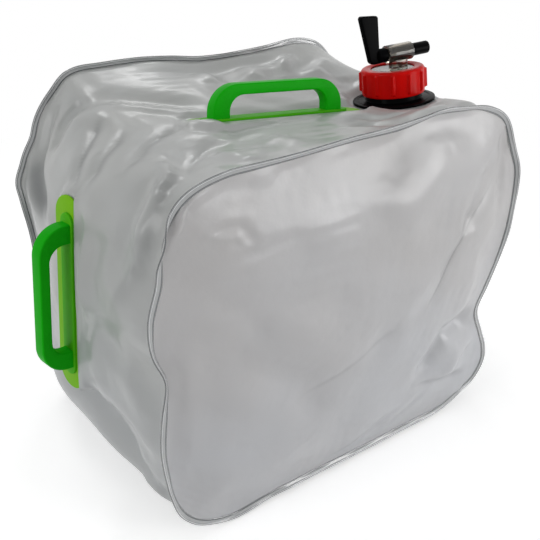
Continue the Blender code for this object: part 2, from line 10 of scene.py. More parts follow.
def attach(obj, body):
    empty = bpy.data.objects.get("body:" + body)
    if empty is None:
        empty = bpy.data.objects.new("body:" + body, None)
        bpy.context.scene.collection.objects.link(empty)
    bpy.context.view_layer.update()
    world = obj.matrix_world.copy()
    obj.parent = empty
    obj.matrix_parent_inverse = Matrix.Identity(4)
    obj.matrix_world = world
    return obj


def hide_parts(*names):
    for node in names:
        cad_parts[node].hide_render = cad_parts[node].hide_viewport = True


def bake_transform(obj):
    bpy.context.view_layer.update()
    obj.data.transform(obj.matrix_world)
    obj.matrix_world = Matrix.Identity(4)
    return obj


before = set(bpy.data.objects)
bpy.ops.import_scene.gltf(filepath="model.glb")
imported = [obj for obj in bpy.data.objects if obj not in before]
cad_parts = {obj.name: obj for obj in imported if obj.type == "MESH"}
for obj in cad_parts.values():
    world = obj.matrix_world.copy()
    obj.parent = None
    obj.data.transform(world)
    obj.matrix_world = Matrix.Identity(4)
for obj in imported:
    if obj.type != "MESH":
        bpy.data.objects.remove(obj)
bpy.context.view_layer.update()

# camera, fitted to the two seams and the two handles in the photograph
IMAGE = 540
FOCAL_PIXELS = 779.96
AZIMUTH = -34.8414
ELEVATION = 29.2628
ROLL = 0.7719
DISTANCE = 0.6481
SHIFT_PIXELS = (-3.7404, -15.1449)
AIM = Vector((0, 0, 0.14295))
SENSOR = 36.0

# bag in metres, as in the CAD source
WIDTH, DEPTH, HEIGHT, CORNER = 0.310, 0.2222, 0.2759, 0.0575
DROP = 0.005
MID = DROP + HEIGHT / 2
HALF_W, HALF_D, HALF_H = WIDTH / 2, DEPTH / 2, HEIGHT / 2
STRIP_END = HALF_D - 0.0003
ACROSS, UP = HALF_W - CORNER, HALF_H - CORNER
ARC = math.pi * CORNER / 2
LOOP = 4 * (ACROSS + UP) + 4 * ARC
FILM = 0.0008
FIN = 0.0045
FLOOR_GAP = 0.0005
PANEL_SWELL = 0.015
# bottom, right, top and left wall: their swell at each end and whether they rest on the floor
WALLS = ((DROP, DROP, 1), (0.020, 0.008, 0), (-0.019, -0.010, 0), (0.008, 0.020, 0))

# the strip's profile from seam to seam, in shares of half the depth
SWELL_REACH, SWELL_POWER = 0.946, 2.4
REST_START, REST_WIDTH = 0.72, 0.226
WAVE_REACH, WAVE_WIDTH, WAVE_POWER = 0.75, 1.75, 1.3
PANEL_POWER = 0.55
PANEL_RISE_CELLS, PANEL_FOLD_CELLS = 9.0, 4.0

# grids: cells across, up and deep
NX, NZ, NV = 57, 50, 44
ROW_STEP = 2 * STRIP_END / NV
CORNERS = (-ARC / 2, 2 * ACROSS + ARC / 2, 2 * ACROSS + 2 * UP + 1.5 * ARC, 4 * ACROSS + 2 * UP + 2.5 * ARC)

# places of the handles and the spout, and their flanges, as in the CAD source
TOP_AT, TOP_TURNS = (-0.0027, -0.0146, 0.2670), (("Z", -4.1), ("Y", 5.0), ("X", -8.7))
SIDE_AT, SIDE_TURNS = (-0.170, -0.0049, 0.16485), (("Z", 3.9), ("Y", 6.8), ("X", 10.8))
SPOUT_AT, SPOUT_TILT = (0.1137, -0.0155, 0.2604), (-2.6, 8.1)
FLANGE_LENGTH, FLANGE_WIDTH = 148, 31
SPOUT_FLANGE = 0.0662

# film against the flanges, in metres
FILM_SINK = 0.0004
IRON_MARGIN, IRON_REACH, IRON_REACH_FINE, IRON_HEIGHT = 0.001, 0.007, 0.004, 0.04
NEAR_SURFACE = 0.03
FAR = 1e9
FOLD_FADE, FOLD_LOW = 0.25, 0.15

# film that rises in front of a handle: how far along it, millimetres high
SWELL_ACROSS, SWELL_WIDTH = -0.0300, 14
TOP_RISE, SIDE_RISE = (0.066, 2.0), (0.068, 2.5)

# the film's lip over the front of a handle's flange: its line, its heights and how it fades
LIP_AT = -0.0086
LIP_REACH = 0.05
TOP_LIP = 0.0021
SIDE_LIP = 0.0026
END_LIP = 0.0050
SHIFT_ALONG, SHIFT_ACROSS = (0.082, 0.045), (0.026, 0.055)
LIP_CLEAR, LIP_ENDS, LIP_FALL = (0.001, 0.008), (0.075, 0.014), (0.009, 0.030)
TAIL_FADE, TAIL_GROW, TAIL_BEHIND = (0.074, 0.040), (0.050, 0.008), (0.006, 0.030)
TAIL_BEHIND_SHARE, TAIL_BEHIND_FROM = 0.4, -0.0572
LIP_SLIDE = 0.0003

# cloth: its settings, what pins it and its first ripple
CLOTH = {
    "quality": 5, "mass": 0.3, "tension_stiffness": 20, "compression_stiffness": 20, "shear_stiffness": 10,
    "bending_stiffness": 3, "tension_damping": 10, "compression_damping": 10, "shear_damping": 5,
    "bending_damping": 1, "air_damping": 4, "vertex_group_mass": "pin", "pin_stiffness": 1,
    "use_pressure": True, "uniform_pressure_force": 0.12, "vertex_group_shrink": "loose",
    "shrink_min": 0, "shrink_max": -0.06,
}
SIM_STEPS = 30
SIM_SCALE = 5.0
PIN_SHARE = 0.02
PIN_MARGIN, PIN_HEIGHT, PIN_FLOOR = 0.002, 0.01, 0.003
RIPPLE, RIPPLE_SEED = 0.0008, 3

# fins and floor
FIN_SEED, FIN_WOBBLE = 11, 6
FLOOR_GLOW = 0.41
FLOOR_REACH = 6.0
FLOOR_FADE = (0.28, 0.75)

# tap and screw threads, in millimetres
TAP_TURN = -8.6
TAP_HEIGHT = 37.1
RISER_AT = 5.65
PITCH = 4.5
CAP_RADIUS, CAP_RIBS, RIB_TURN = 25.2, 12, 17.9
NECK_RADIUS = 21.0

# where the seams leave the rounded rectangle: thousandths of the way round, millimetres out
FRONT_WAVES = (
    (0, 0), (21, -2), (61, -2.6), (114, -1.8), (171, -2), (217, 0.5), (231, 7), (245, 7.5), (257, 2),
    (275, -7), (299, -17), (322, -8.5), (345, 0.5), (372, 5.5), (410, 4), (430, -2.5), (444, -3.8),
    (464, -0.5), (481, -0.5), (502, 1.5), (530, 4.1), (547, 1.9), (564, -0.2), (600, 0.1), (641, -1.2),
    (691, -1.5), (719, 1.3), (737, -0.1), (765, -4), (790, 3.2), (812, 4), (834, -3.1), (858, -1.6),
    (889, 1), (926, -2), (955, -0.2), (965, 0.5),
)
BACK_WAVES = (
    (0, 0), (60, -2), (130, 0), (210, -1), (270, 1.5), (330, -2.5), (400, 2), (455, 3), (472, 2.7),
    (487, 0.9), (504, -0.7), (539, -3.2), (585, -2.5), (612, 2), (639, 5), (670, 5.5), (694, 4.6),
    (709, -1.7), (735, -7), (750, -8), (768, -1), (782, 5), (794, 4.1), (836, -0.3), (880, 1.5), (930, 2.5),
    (965, 2),
)

# folds seen in the photograph: places in millimetres, height out, width or a width for each side
CREASES = (
    ((62, -120, 57), (105, -118, 43), (140, -113, 35)),
    ((-111, 17, 272), (-118, 8, 267), (-130, 0, 262), (-142, -7, 256), (-154, -11, 245)),
    ((-116, 45, 272), (-124, 32, 262), (-140, 17, 256), (-152, 9, 245), (-161, 2, 237)),
    ((-73, -4, 272), (-93, -16, 270), (-113, -24, 268), (-126, -32, 265), (-138, -40, 264)),
    ((-70, -44, 268), (-88, -55, 271), (-103, -68, 272), (-115, -83, 273)),
    ((-113, -36, 269), (-112, -53, 270), (-113, -75, 273), (-116, -97, 275)),
)
# those that come before the cloth settles
BROAD = (
    (((102, -121, 197), (85, -123, 172), (66, -124, 141), (35, -126, 131), (-12, -126, 117)), -3, 12),
    (((97, -111, 276), (71, -115, 259), (39, -121, 239), (7, -123, 218)), 4.5, 24),
    (((134, -112, 245), (112, -119, 212), (94, -122, 184)), -4, 13),
    (((140, -111, 98), (92, -122, 98), (62, -121, 59)), -6, 10),
    (CREASES[0], -3, 7),
    (((150, -111, 77), (112, -119, 68), (96, -120, 51)), 3.5, 10),
    (((-136, -115, 175), (-97, -122, 150), (-56, -124, 114), (-32, -122, 59)), -4, 17),
    (((-96, -122, 175), (-32, -126, 135), (27, -125, 116)), 3, 22),
    (((-128, -115, 205), (-104, -121, 192), (-82, -123, 162)), -2, 9),
    (((-139, -114, 186), (-137, -112, 130), (-138, -113, 69)), 2.5, 10),
    (((-44, -14, 268), (-57, 8, 268), (-72, 26, 270), (-88, 40, 272), (-104, 50, 275),
      (-116, 62, 276)), 1.6, 14, 6),
    (((-40, 22, 270), (-62, 38, 273), (-84, 52, 277), (-104, 66, 279), (-116, 78, 277)), -3.5, 10),
    (((-112, 38, 275), (-124, 52, 274), (-134, 66, 268)), 2, 9),
    (((-173, 50, 80), (-175, 8, 68), (-170, -42, 52), (-163, -72, 42), (-157, -88, 33)), -11, 31),
    (((-176, 30, 92), (-174, -20, 74), (-168, -58, 58), (-162, -76, 50)), -12, 25),
    (((-170, -58, 48), (-159, -84, 35), (-150, -102, 23)), -5.5, 13),
    (((-6, 92, 278), (-8, 76, 272), (-14, 60, 268)), 3.5, 8),
    (((-142, 119, 262), (-116, 122, 230), (-94, 124, 204)), 3, 12),
    (((140, 119, 256), (118, 122, 222), (104, 124, 186)), 3.2, 13),
    (((-148, 119, 66), (-122, 122, 94), (-102, 124, 124)), 2.8, 12),
    (((144, 119, 58), (114, 122, 86), (90, 124, 126)), -3, 12),
    (((-62, 124, 256), (-34, 126, 232), (6, 127, 218), (44, 127, 226)), 2.6, 16),
    (((-30, 126, 62), (14, 127, 86), (58, 126, 90)), 2.4, 18),
    (((40, 92, 274), (34, 74, 269), (26, 58, 266)), 3.5, 8),
    (((74, 90, 272), (66, 70, 266), (56, 52, 263)), 3.5, 8),
    (((98, 60, 268), (84, 44, 262), (76, 24, 258)), 3, 8),
    (((-92, -70, 272), (-74, -78, 274), (-60, -92, 277)), 2.5, 8),
    (((-46, -62, 270), (-40, -78, 274), (-36, -94, 278)), 2.5, 8),
    (((-113, 65, 277), (-124, 76, 275), (-134, 76, 268), (-142, 72, 255), (-150, 66, 240)), -4, 4, 9),
    (CREASES[1], -2, 6, 11),
    (CREASES[2], -2.2, 6, 11),
    (CREASES[3], -1.8, 6, 12),
    (CREASES[4], -1.6, 5, 11),
    (CREASES[5], -1, 5, 9),
    (((-116, -49, 269), (-126, -82, 268), (-138, -93, 257), (-148, -93, 241),
      (-154, -88, 226)), 5, 13, 3.5),
    (((-118, -52, 269), (-133, -69, 266), (-143, -74, 259), (-150, -73, 241),
      (-157, -62, 208)), -2.5, 6, 9),
    (((-134, -101, 270), (-146, -102, 255), (-152, -89, 231), (-161, -81, 205)), 3.5, 8),
    (((-124, 100, 273), (-140, 103, 250), (-154, 88, 228), (-161, 62, 212), (-166, 40, 196)), -8, 11),
    (((-159, -42, 222), (-167, -40, 186), (-168, -27, 139)), -2.5, 8),
    (((-165, -74, 173), (-161, -74, 132), (-159, -95, 102)), 2.5, 10),
    (((-173, -34, 92), (-166, -70, 88), (-159, -91, 63)), -3, 9),
    (((-83, -74, 273), (-81, -93, 276), (-69, -93, 276)), 3, 7),
    (((-54, 86, 281), (-16, 90, 277), (35, 94, 274), (82, 92, 274)), -3, 10),
    (((9, 60, 268), (35, 70, 268), (58, 84, 271)), 3, 8),
    (((54, 68, 267), (75, 82, 271), (91, 92, 275)), 4, 7),
    (((68, 51, 264), (91, 60, 267), (121, 77, 271)), 4, 8),
    (((16, -66, 271), (37, -78, 273), (41, -107, 283), (70, -106, 284)), -3, 8),
    (((113, 46, 266), (107, 30, 259), (95, 17, 254)), -4, 12),
    (((146, -28, 258), (143, -48, 262), (138, -68, 268), (131, -92, 276)), 8.5, 17, 24),
    (((138, 60, 262), (148, 25, 256), (150, -12, 253)), 4, 14),
)
# painted shade along the film's creases, shaded facets and hollows: strength and width
PAINTED_SHADE_MARKS = (
    (((-115, 43, 273), (-126, 33, 263), (-137, 23, 258), (-152, 5, 245), (-161, 0, 238)), 0.42, 1.6, 4.5),
    (((-113, 14, 270), (-124, -1, 266), (-136, -5, 260), (-146, -12, 254), (-156, -15, 245)), 0.42, 1.6, 5),
    (((-85, -11, 272), (-111, -23, 268), (-122, -31, 266), (-138, -41, 264),
      (-142, -36, 261)), 0.30, 1.5, 4),
    (((-85, -51, 271), (-104, -67, 270), (-120, -88, 273)), 0.26, 1.5, 3.5),
    (((-148, 98, 235), (-154, 90, 218), (-158, 70, 210), (-165, 34, 206)), 0.75, 14),
    (((-119, -52, 272), (-138, -93, 266), (-150, -98, 248), (-157, -88, 228), (-164, -72, 196),
      (-166, -58, 165)), 0.24, 3.5, 9),
    (((-60, 11, 273), (-80, 30, 273), (-104, 50, 275), (-118, 64, 276)), 0.20, 1.6),
    (((130, -112, 222), (107, -116, 196), (91, -119, 179), (78, -120, 158), (60, -121, 132)), 0.40, 1),
    (((118, -111, 230), (100, -117, 205), (82, -121, 175), (66, -122, 150)), 0.14, 8),
    (CREASES[0], 0.22, 1.3),
    (((-55, -124, 100), (-20, -126, 112), (35, -126, 131)), 0.14, 1.6),
    (((60, -111, 279), (40, -115, 268), (10, -118, 255)), 0.12, 9),
    (((-128, -115, 248), (-104, -119, 240), (-87, -121, 228)), 0.10, 2.5),
)
# those pressed into the settled film
FINE = (
    (((121, -117, 214), (102, -121, 197), (85, -123, 172), (66, -124, 141)), -1.1, 2.6),
    (((35, -126, 131), (-12, -126, 117), (-55, -124, 100)), -0.7, 4),
    (((136, -111, 98), (92, -122, 98), (62, -121, 59)), -1, 3),
    (CREASES[0], -1, 3),
    (((20, -113, 18), (49, -113, 23), (86, -119, 48)), -0.8, 3.5),
    (((-20, -111, 12), (8, -111, 15), (54, -118, 41)), -0.8, 3.5),
    (((-123, -115, 248), (-100, -116, 247), (-87, -120, 230)), -0.9, 4),
    (CREASES[1], -0.5, 1.8, 3.2),
    (CREASES[2], -0.5, 1.8, 3.2),
    (CREASES[3], -0.5, 1.8, 3.2),
    (CREASES[4], -0.5, 1.8, 3.2),
    (CREASES[5], -0.4, 1.8, 3),
    (((-113, 65, 277), (-124, 76, 275), (-134, 76, 268), (-142, 72, 255)), -1.1, 2, 3),
    (((-106, -119, 228), (-77, -121, 230), (-51, -121, 233)), -0.7, 4),
    (((38, -51, 268), (52, -72, 273), (74, -80, 276)), -1.5, 4),
    (((130, -112, 265), (139, -111, 243), (140, -112, 218), (139, -114, 190)), -2, 5),
)

# a fin's section: millimetres out, half thickness, and its painted tone, from 0 for a painted highlight
# through 0.35 for the film's own tone to 1 for painted shade
FIN_PROFILE = (
    (-0.6, 0.40, 0.5), (0.2, 0.42, 0.9), (0.7, 0.46, 1.0), (1.0, 0.42, 0.35), (1.5, 0.34, 0.35),
    (2.2, 0.32, 0.35), (2.8, 0.34, 0.35), (3.1, 0.55, 0.8), (3.4, 0.66, 0.0), (3.7, 0.62, 0.0),
    (3.95, 0.50, 1.0), (4.2, 0.58, 0.3), (4.4, 0.40, 0.8),
)
FIN_TIP = (4.5, 0.0, 1.0)
# how far the fins lean away from the bag's sides: thousandths of the way round, degrees
FRONT_TILT = (
    (0, 25), (100, 30), (200, 20), (280, -10), (360, 10), (420, 35), (470, 20), (520, 35), (560, 18),
    (620, 28), (670, 20), (700, 5), (725, 10), (742, 70), (760, 20), (790, 8), (820, 62), (845, 35),
    (880, 12), (920, 40), (960, 15),
)
BACK_TILT = (
    (0, 20), (120, 0), (250, 25), (370, -5), (460, 15), (550, 0), (640, -10), (700, 5), (760, 30), (820, 0),
    (900, 20),
)


def smooth(share):
    share = np.clip(share, 0, 1)
    return share * share * (3 - 2 * share)


def ramp(value, start, width):
    """Smooth step from zero at start to one a width further on."""
    return smooth((value - start) / width)


def loop(s):
    """Points, normals, swell and rest on the floor at distances s round the seam's rectangle."""
    s = np.mod(s, LOOP)
    x, z, nx, nz, swell, rest = (np.zeros_like(s) for _ in range(6))
    start = 0.0
    for k, (first, last, down) in enumerate(WALLS):
        reach, edge = ((ACROSS, HALF_H), (UP, HALF_W))[k % 2]
        heading = math.radians(90 * k)
        n = (math.sin(heading), -math.cos(heading))
        t = (-n[1], n[0])
        m = (s >= start) & (s < start + 2 * reach)
        d = s[m] - start - reach
        x[m], z[m] = n[0] * edge + t[0] * d, n[1] * edge + t[1] * d
        nx[m], nz[m] = n
        swell[m] = first + (last - first) * (s[m] - start) / (2 * reach)
        rest[m] = down
        start += 2 * reach
        m = (s >= start) & (s < start + ARC)
        angle = heading + (s[m] - start) / CORNER
        nx[m], nz[m] = np.sin(angle), -np.cos(angle)
        x[m] = n[0] * (edge - CORNER) + t[0] * reach + CORNER * nx[m]
        z[m] = n[1] * (edge - CORNER) + t[1] * reach + CORNER * nz[m]
        ease = smooth((s[m] - start) / ARC)
        after, _, after_down = WALLS[(k + 1) % 4]
        swell[m] = last + (after - last) * ease
        rest[m] = down + (after_down - down) * ease
        start += ARC
    return x, z + MID, nx, nz, swell, rest


def seam_samples():
    """Distances round the seam, even between the middles of its corners."""
    ends = list(CORNERS) + [CORNERS[0] + LOOP]
    spans = zip(ends, ends[1:], (NX, NZ, NX, NZ))
    return np.concatenate([start + (end - start) * np.arange(n) / n for start, end, n in spans])


def periodic(points, s):
    """Smooth closed curve through points of thousandths of the way round and a value."""
    t, v = np.array(points, float).T
    t = np.concatenate([t / 1000 - 1, t / 1000, t / 1000 + 1])
    v = np.concatenate([v, v, v])
    q = np.mod(s / LOOP, 1)
    i = np.searchsorted(t, q, side="right") - 1
    span = t[i + 1] - t[i]
    u = (q - t[i]) / span
    m0 = (v[i + 1] - v[i - 1]) / (t[i + 1] - t[i - 1]) * span
    m1 = (v[i + 2] - v[i]) / (t[i + 2] - t[i]) * span
    start, end = 2 * u**3 - 3 * u**2 + 1, 3 * u**2 - 2 * u**3
    return start * v[i] + (u**3 - 2 * u**2 + u) * m0 + end * v[i + 1] + (u**3 - u**2) * m1


def turn(axis, degrees):
    return Matrix.Rotation(math.radians(degrees), 4, axis)


def mount_frames():
    """World frames of the top handle, the side handle and the spout, as in the CAD source."""
    top = Matrix.Translation(TOP_AT)
    for axis, degrees in TOP_TURNS:
        top = top @ turn(axis, degrees)
    side = Matrix.Translation(SIDE_AT) @ Matrix(((0, 0, -1), (0, 1, 0), (1, 0, 0))).to_4x4()
    for axis, degrees in SIDE_TURNS:
        side = side @ turn(axis, degrees)
    out = Vector((*(math.tan(math.radians(tilt)) for tilt in SPOUT_TILT), 1)).normalized()
    right = Vector((0, 1, 0)).cross(out).normalized()
    spout = Matrix((right, out.cross(right), out)).transposed().to_4x4()
    return top, side, Matrix.Translation(SPOUT_AT) @ spout


TOP_FRAME, SIDE_FRAME, SPOUT_FRAME = mount_frames()
FLANGES = (
    (TOP_FRAME, FLANGE_LENGTH / 1000, FLANGE_WIDTH / 1000),
    (SIDE_FRAME, FLANGE_LENGTH / 1000, FLANGE_WIDTH / 1000),
    (SPOUT_FRAME, SPOUT_FLANGE, SPOUT_FLANGE),
)


def footprint(points, flange):
    """Distance outside a flange's outline in its plane, and points and axes in its frame."""
    matrix, length, width = flange
    axes = np.array(matrix.to_3x3())
    local = (points - np.array(matrix.translation)) @ axes
    over = np.maximum(np.abs(local[..., 0]) - (length - width) / 2, 0)
    return np.hypot(over, local[..., 1]) - width / 2, local, axes


def iron(points, reach, lift):
    """Press film down on the flanges, and where lift is set raise it to them as well."""
    for flange in FLANGES:
        distance, local, axes = footprint(points, flange)
        height = local[..., 2] + FILM_SINK
        weight = 1 - ramp(distance, IRON_MARGIN, reach)
        weight = np.where(np.abs(height) < IRON_HEIGHT, weight, 0)
        if not lift:
            weight = np.where(height > 0, weight, 0)
        points = points - (height * weight)[..., None] * axes[:, 2]
    return points


def waves(a, b, seed, low, high, count):
    """Sum of fixed sine waves over two coordinates in metres, with wavelengths from low to high."""
    random = np.random.default_rng(seed)
    total = np.zeros_like(a)
    for _ in range(count):
        angle, phase = random.uniform(0, 2 * math.pi, 2)
        length = low * (high / low) ** random.uniform()
        total += np.sin((a * math.cos(angle) + b * math.sin(angle)) * 2 * math.pi / length + phase)
    return total / math.sqrt(count)


def line_distance(points, normals, line):
    """Distance from a polyline along the surface, share of its length, and which side of it."""
    path = np.array(line, float) / 1000
    lengths = np.linalg.norm(np.diff(path, axis=0), axis=1)
    starts = np.concatenate([[0], np.cumsum(lengths)])
    near = np.full(points.shape[:-1], FAR)
    share = np.zeros(points.shape[:-1])
    beside = np.zeros(points.shape[:-1], bool)
    for k, length in enumerate(lengths):
        ab = path[k + 1] - path[k]
        t = np.clip(((points - path[k]) @ ab) / length**2, 0, 1)
        apart = points - (path[k] + t[..., None] * ab)
        up = (apart * normals).sum(-1)
        flat = np.linalg.norm(apart - up[..., None] * normals, axis=-1)
        flat = np.where(np.abs(up) < NEAR_SURFACE, flat, FAR)
        closer = flat < near
        beside = np.where(closer, (apart * np.cross(normals, ab)).sum(-1) > 0, beside)
        near = np.where(closer, flat, near)
        share = np.where(closer, (starts[k] + t * length) / starts[-1], share)
    return near, share, beside


def marks(points, normals, folds):
    """Sum of folds along polylines, low at their ends, each (line, height, one or two widths)."""
    total = np.zeros(points.shape[:-1])
    for line, height, *widths in folds:
        near, share, beside = line_distance(points, normals, line)
        width = np.where(beside, widths[-1], widths[0]) / 1000
        ends = smooth(share / FOLD_FADE) * smooth((1 - share) / FOLD_FADE) * (1 - FOLD_LOW) + FOLD_LOW
        total += height * ends * np.exp(-((near / width) ** 2))
    return total


def stroke(points, normals, folds):
    """Raise or sink points along their normals by folds that follow polylines."""
    return points + normals * marks(points, normals, folds)[..., None] / 1000


def unit(vectors):
    return vectors / np.maximum(np.linalg.norm(vectors, axis=-1, keepdims=True), 1e-12)


def grid_normals(grid, wrapped):
    """Unit normals of a grid of points."""
    if wrapped:
        along = np.roll(grid, -1, 1) - np.roll(grid, 1, 1)
    else:
        along = np.gradient(grid, axis=1)
    return unit(np.cross(along, np.gradient(grid, axis=0)))


def outward(grid, wrapped, side=0):
    """Normals of a grid that point out of the bag."""
    normal = grid_normals(grid, wrapped)
    if wrapped:
        turned = ((grid - grid.mean(axis=1, keepdims=True)) * normal).sum(-1).mean() < 0
    else:
        turned = (normal[..., 1] * side).mean() < 0
    return -normal if turned else normal


def handle_swells():
    """Folds for the film that rises in front of each handle."""
    folds = []
    for matrix, (reach, height) in ((TOP_FRAME, TOP_RISE), (SIDE_FRAME, SIDE_RISE)):
        line = [matrix @ Vector((x, SWELL_ACROSS, 0)) * 1000 for x in np.linspace(-reach, reach, 5)]
        folds.append((tuple(tuple(p) for p in line), height, SWELL_WIDTH))
    return tuple(folds)


def lip_row(matrix):
    """The grid row next to a handle's pad."""
    return round(((matrix @ Vector((0, LIP_AT, 0))).y + HALF_D) / ROW_STEP)


def row_shift(x, z, nx, nz, y):
    """How far points of the strip move along y so that a row follows each handle's pad."""
    total = np.zeros_like(x)
    for matrix, axis, wall in ((TOP_FRAME, x, nz), (SIDE_FRAME, z, -nx)):
        ends = [matrix @ Vector((reach, LIP_AT, 0)) for reach in (-LIP_REACH, LIP_REACH)]
        first, last = ((p.x if axis is x else p.z, p.y) for p in ends)
        row_y = -STRIP_END + lip_row(matrix) * ROW_STEP
        target = first[1] + (last[1] - first[1]) * (axis - first[0]) / (last[0] - first[0])
        middle = (first[0] + last[0]) / 2
        along = 1 - ramp(np.abs(axis - middle), *SHIFT_ALONG)
        across = 1 - ramp(abs(y - row_y), *SHIFT_ACROSS)
        total += (target - row_y) * along * across * (wall > 0.5)
    return total


def raise_lips(grid):
    """Lay the film over the front of each handle's flange, up to a crest beside the pad."""
    clear = ramp(footprint(grid, FLANGES[2])[0], *LIP_CLEAR)
    rows = np.arange(len(grid))[:, None]
    for flange, height in ((FLANGES[0], TOP_LIP), (FLANGES[1], SIDE_LIP)):
        _, local, axes = footprint(grid, flange)
        along, across, up = (local[..., k] for k in range(3))
        row = 4 * lip_row(flange[0])
        near = (np.abs(up) < NEAR_SURFACE) * clear
        ends = 1 - ramp(np.abs(along), *LIP_ENDS)
        fall = 1 - ramp(LIP_AT - across, *LIP_FALL)
        lift = height * ends * fall * (rows <= row) * near
        if flange is FLANGES[0]:
            tail = 1 - ramp(-along, *TAIL_FADE)
            grow = height + (END_LIP - height) * ramp(-along, *TAIL_GROW)
            front = grow * tail * fall * (rows <= row)
            behind = TAIL_BEHIND_SHARE * END_LIP * tail * (1 - ramp(across, *TAIL_BEHIND))
            behind = behind * (along < TAIL_BEHIND_FROM) * (rows > row)
            lift = np.where(along < -TAIL_GROW[0], np.maximum(front, behind) * near, lift)
        slide = np.where(rows == row + 1, LIP_SLIDE * ends, 0) * near
        grid = grid + lift[..., None] * axes[:, 2] + slide[..., None] * axes[:, 1]
    return grid


def wrap_grid():
    """Outer points of the strip: one row for each step from the front seam to the back one."""
    s = seam_samples()
    x0, z0, nx, nz, swell, rest = loop(s)
    room = (z0 - FLOOR_GAP) / np.maximum(-nz, 1e-5) - FIN
    front, back = (np.minimum(periodic(w, s) / 1000, room) for w in (FRONT_WAVES, BACK_WAVES))
    rows = []
    for share in np.linspace(-1, 1, NV + 1):
        v = share + row_shift(x0, z0, nx, nz, share * STRIP_END) / STRIP_END
        side = 1 - np.minimum(np.abs(v) / SWELL_REACH, 1) ** SWELL_POWER
        flat = 1 - ramp(np.abs(v), REST_START, REST_WIDTH)
        profile = side + (flat - side) * rest
        wave = front * smooth((WAVE_REACH - v) / WAVE_WIDTH) ** WAVE_POWER
        wave = wave + back * smooth((WAVE_REACH + v) / WAVE_WIDTH) ** WAVE_POWER
        out = swell * profile + wave * (1 - rest * flat)
        rows.append(np.stack([x0 + nx * out, v * STRIP_END, z0 + nz * out], 1))
    return np.array(rows)


def rim_sides(rim, fine=1):
    """The left, right, bottom and top edges of a panel's grid, from its closed rim."""
    across, up = fine * NX, fine * NZ
    bottom = rim[: across + 1]
    right = rim[across : across + up + 1]
    top = rim[across + up : 2 * across + up + 1][::-1]
    left = np.concatenate([rim[2 * across + up :], rim[:1]])[::-1]
    return left, right, bottom, top


def fit_edges(grid, rim, fine=1):
    """Give the edges of a panel's grid what its rim has."""
    grid[0], grid[-1], grid[:, 0], grid[:, -1] = rim_sides(rim, fine)


def cells_in():
    """How many cells each point of a panel's grid lies inside its edge."""
    i = np.arange(NX + 1)[:, None]
    j = np.arange(NZ + 1)[None]
    return np.minimum(np.minimum(i, NX - i), np.minimum(j, NZ - j))


def panel_grid(rim, side):
    """Points of an end panel over a closed rim, by a Coons patch and a dome."""
    left, right, bottom, top = rim_sides(rim)
    u = np.linspace(0, 1, NX + 1)[:, None, None]
    v = np.linspace(0, 1, NZ + 1)[None, :, None]
    flat = (1 - v) * bottom[:, None] + v * top[:, None] + (1 - u) * left[None] + u * right[None]
    corners = (1 - u) * (1 - v) * bottom[0] + u * (1 - v) * bottom[-1]
    flat -= corners + (1 - u) * v * top[0] + u * v * top[-1]
    across = 1 - np.minimum(np.abs(flat[..., 0]) / HALF_W, 1) ** 2
    up = 1 - np.minimum(np.abs(flat[..., 2] - MID) / HALF_H, 1) ** 2
    rise = PANEL_SWELL * np.clip(across * up, 0, 1) ** PANEL_POWER * smooth(cells_in() / PANEL_RISE_CELLS)
    flat[..., 1] += side * rise
    return flat


def grid_faces(rows, columns, wrapped):
    """Quads of a grid, whose columns close into a ring where it is wrapped."""
    r = np.arange(rows - 1)[:, None]
    c = np.arange(columns if wrapped else columns - 1)[None]
    n = (c + 1) % columns
    quads = np.stack([r * columns + c, r * columns + n, (r + 1) * columns + n, (r + 1) * columns + c], -1)
    return quads.reshape(-1, 4)


def sim_mesh(wrap, panels):
    """One closed mesh of the strip and both panels, and where each panel's points are in it."""
    rows, columns = wrap.shape[:2]
    index = np.arange(rows * columns).reshape(rows, columns)
    points = [wrap.reshape(-1, 3)]
    faces = [grid_faces(rows, columns, True)[:, [0, 3, 2, 1]]]
    total = rows * columns
    maps = []
    quads = grid_faces(NX + 1, NZ + 1, False)
    for panel, rim, order in zip(panels, (index[0], index[-1]), ([0, 3, 2, 1], [1, 2, 3, 0])):
        inner = panel[1:-1, 1:-1].reshape(-1, 3)
        grid = np.zeros((NX + 1, NZ + 1), int)
        fit_edges(grid, rim)
        grid[1:-1, 1:-1] = total + np.arange(len(inner)).reshape(NX - 1, NZ - 1)
        points.append(inner)
        total += len(inner)
        faces.append(grid.ravel()[quads[:, order]])
        maps.append(grid)
    return np.concatenate(points), np.concatenate(faces), maps


def new_object(name, data):
    thing = bpy.data.objects.new(name, data)
    bpy.context.scene.collection.objects.link(thing)
    return thing


def simulate(points, faces, weights):
    """Let the film buckle as cloth under pressure between what pins it."""
    mesh = bpy.data.meshes.new("sim")
    mesh.from_pydata((points * SIM_SCALE).tolist(), [], faces.tolist())
    thing = new_object("sim", mesh)
    pinned = thing.vertex_groups.new(name="pin")
    weights = np.round(weights, 2)
    for value in np.unique(weights):
        pinned.add(np.nonzero(weights == value)[0].tolist(), float(value), "REPLACE")
    thing.vertex_groups.new(name="loose").add(list(range(len(points))), 1.0, "REPLACE")
    cloth = thing.modifiers.new("cloth", "CLOTH")
    for key, value in CLOTH.items():
        setattr(cloth.settings, key, value)
    cloth.settings.effector_weights.gravity = 0
    cloth.collision_settings.use_collision = False
    cloth.point_cache.frame_start = 1
    cloth.point_cache.frame_end = SIM_STEPS
    scene = bpy.context.scene
    for step in range(1, SIM_STEPS + 1):
        scene.frame_set(step)
    graph = bpy.context.evaluated_depsgraph_get()
    result = thing.evaluated_get(graph).to_mesh()
    out = np.zeros(len(result.vertices) * 3, np.float32)
    result.vertices.foreach_get("co", out)
    scene.frame_set(1)
    bpy.data.objects.remove(thing)
    bpy.data.meshes.remove(mesh)
    return out.reshape(-1, 3).astype(float) / SIM_SCALE


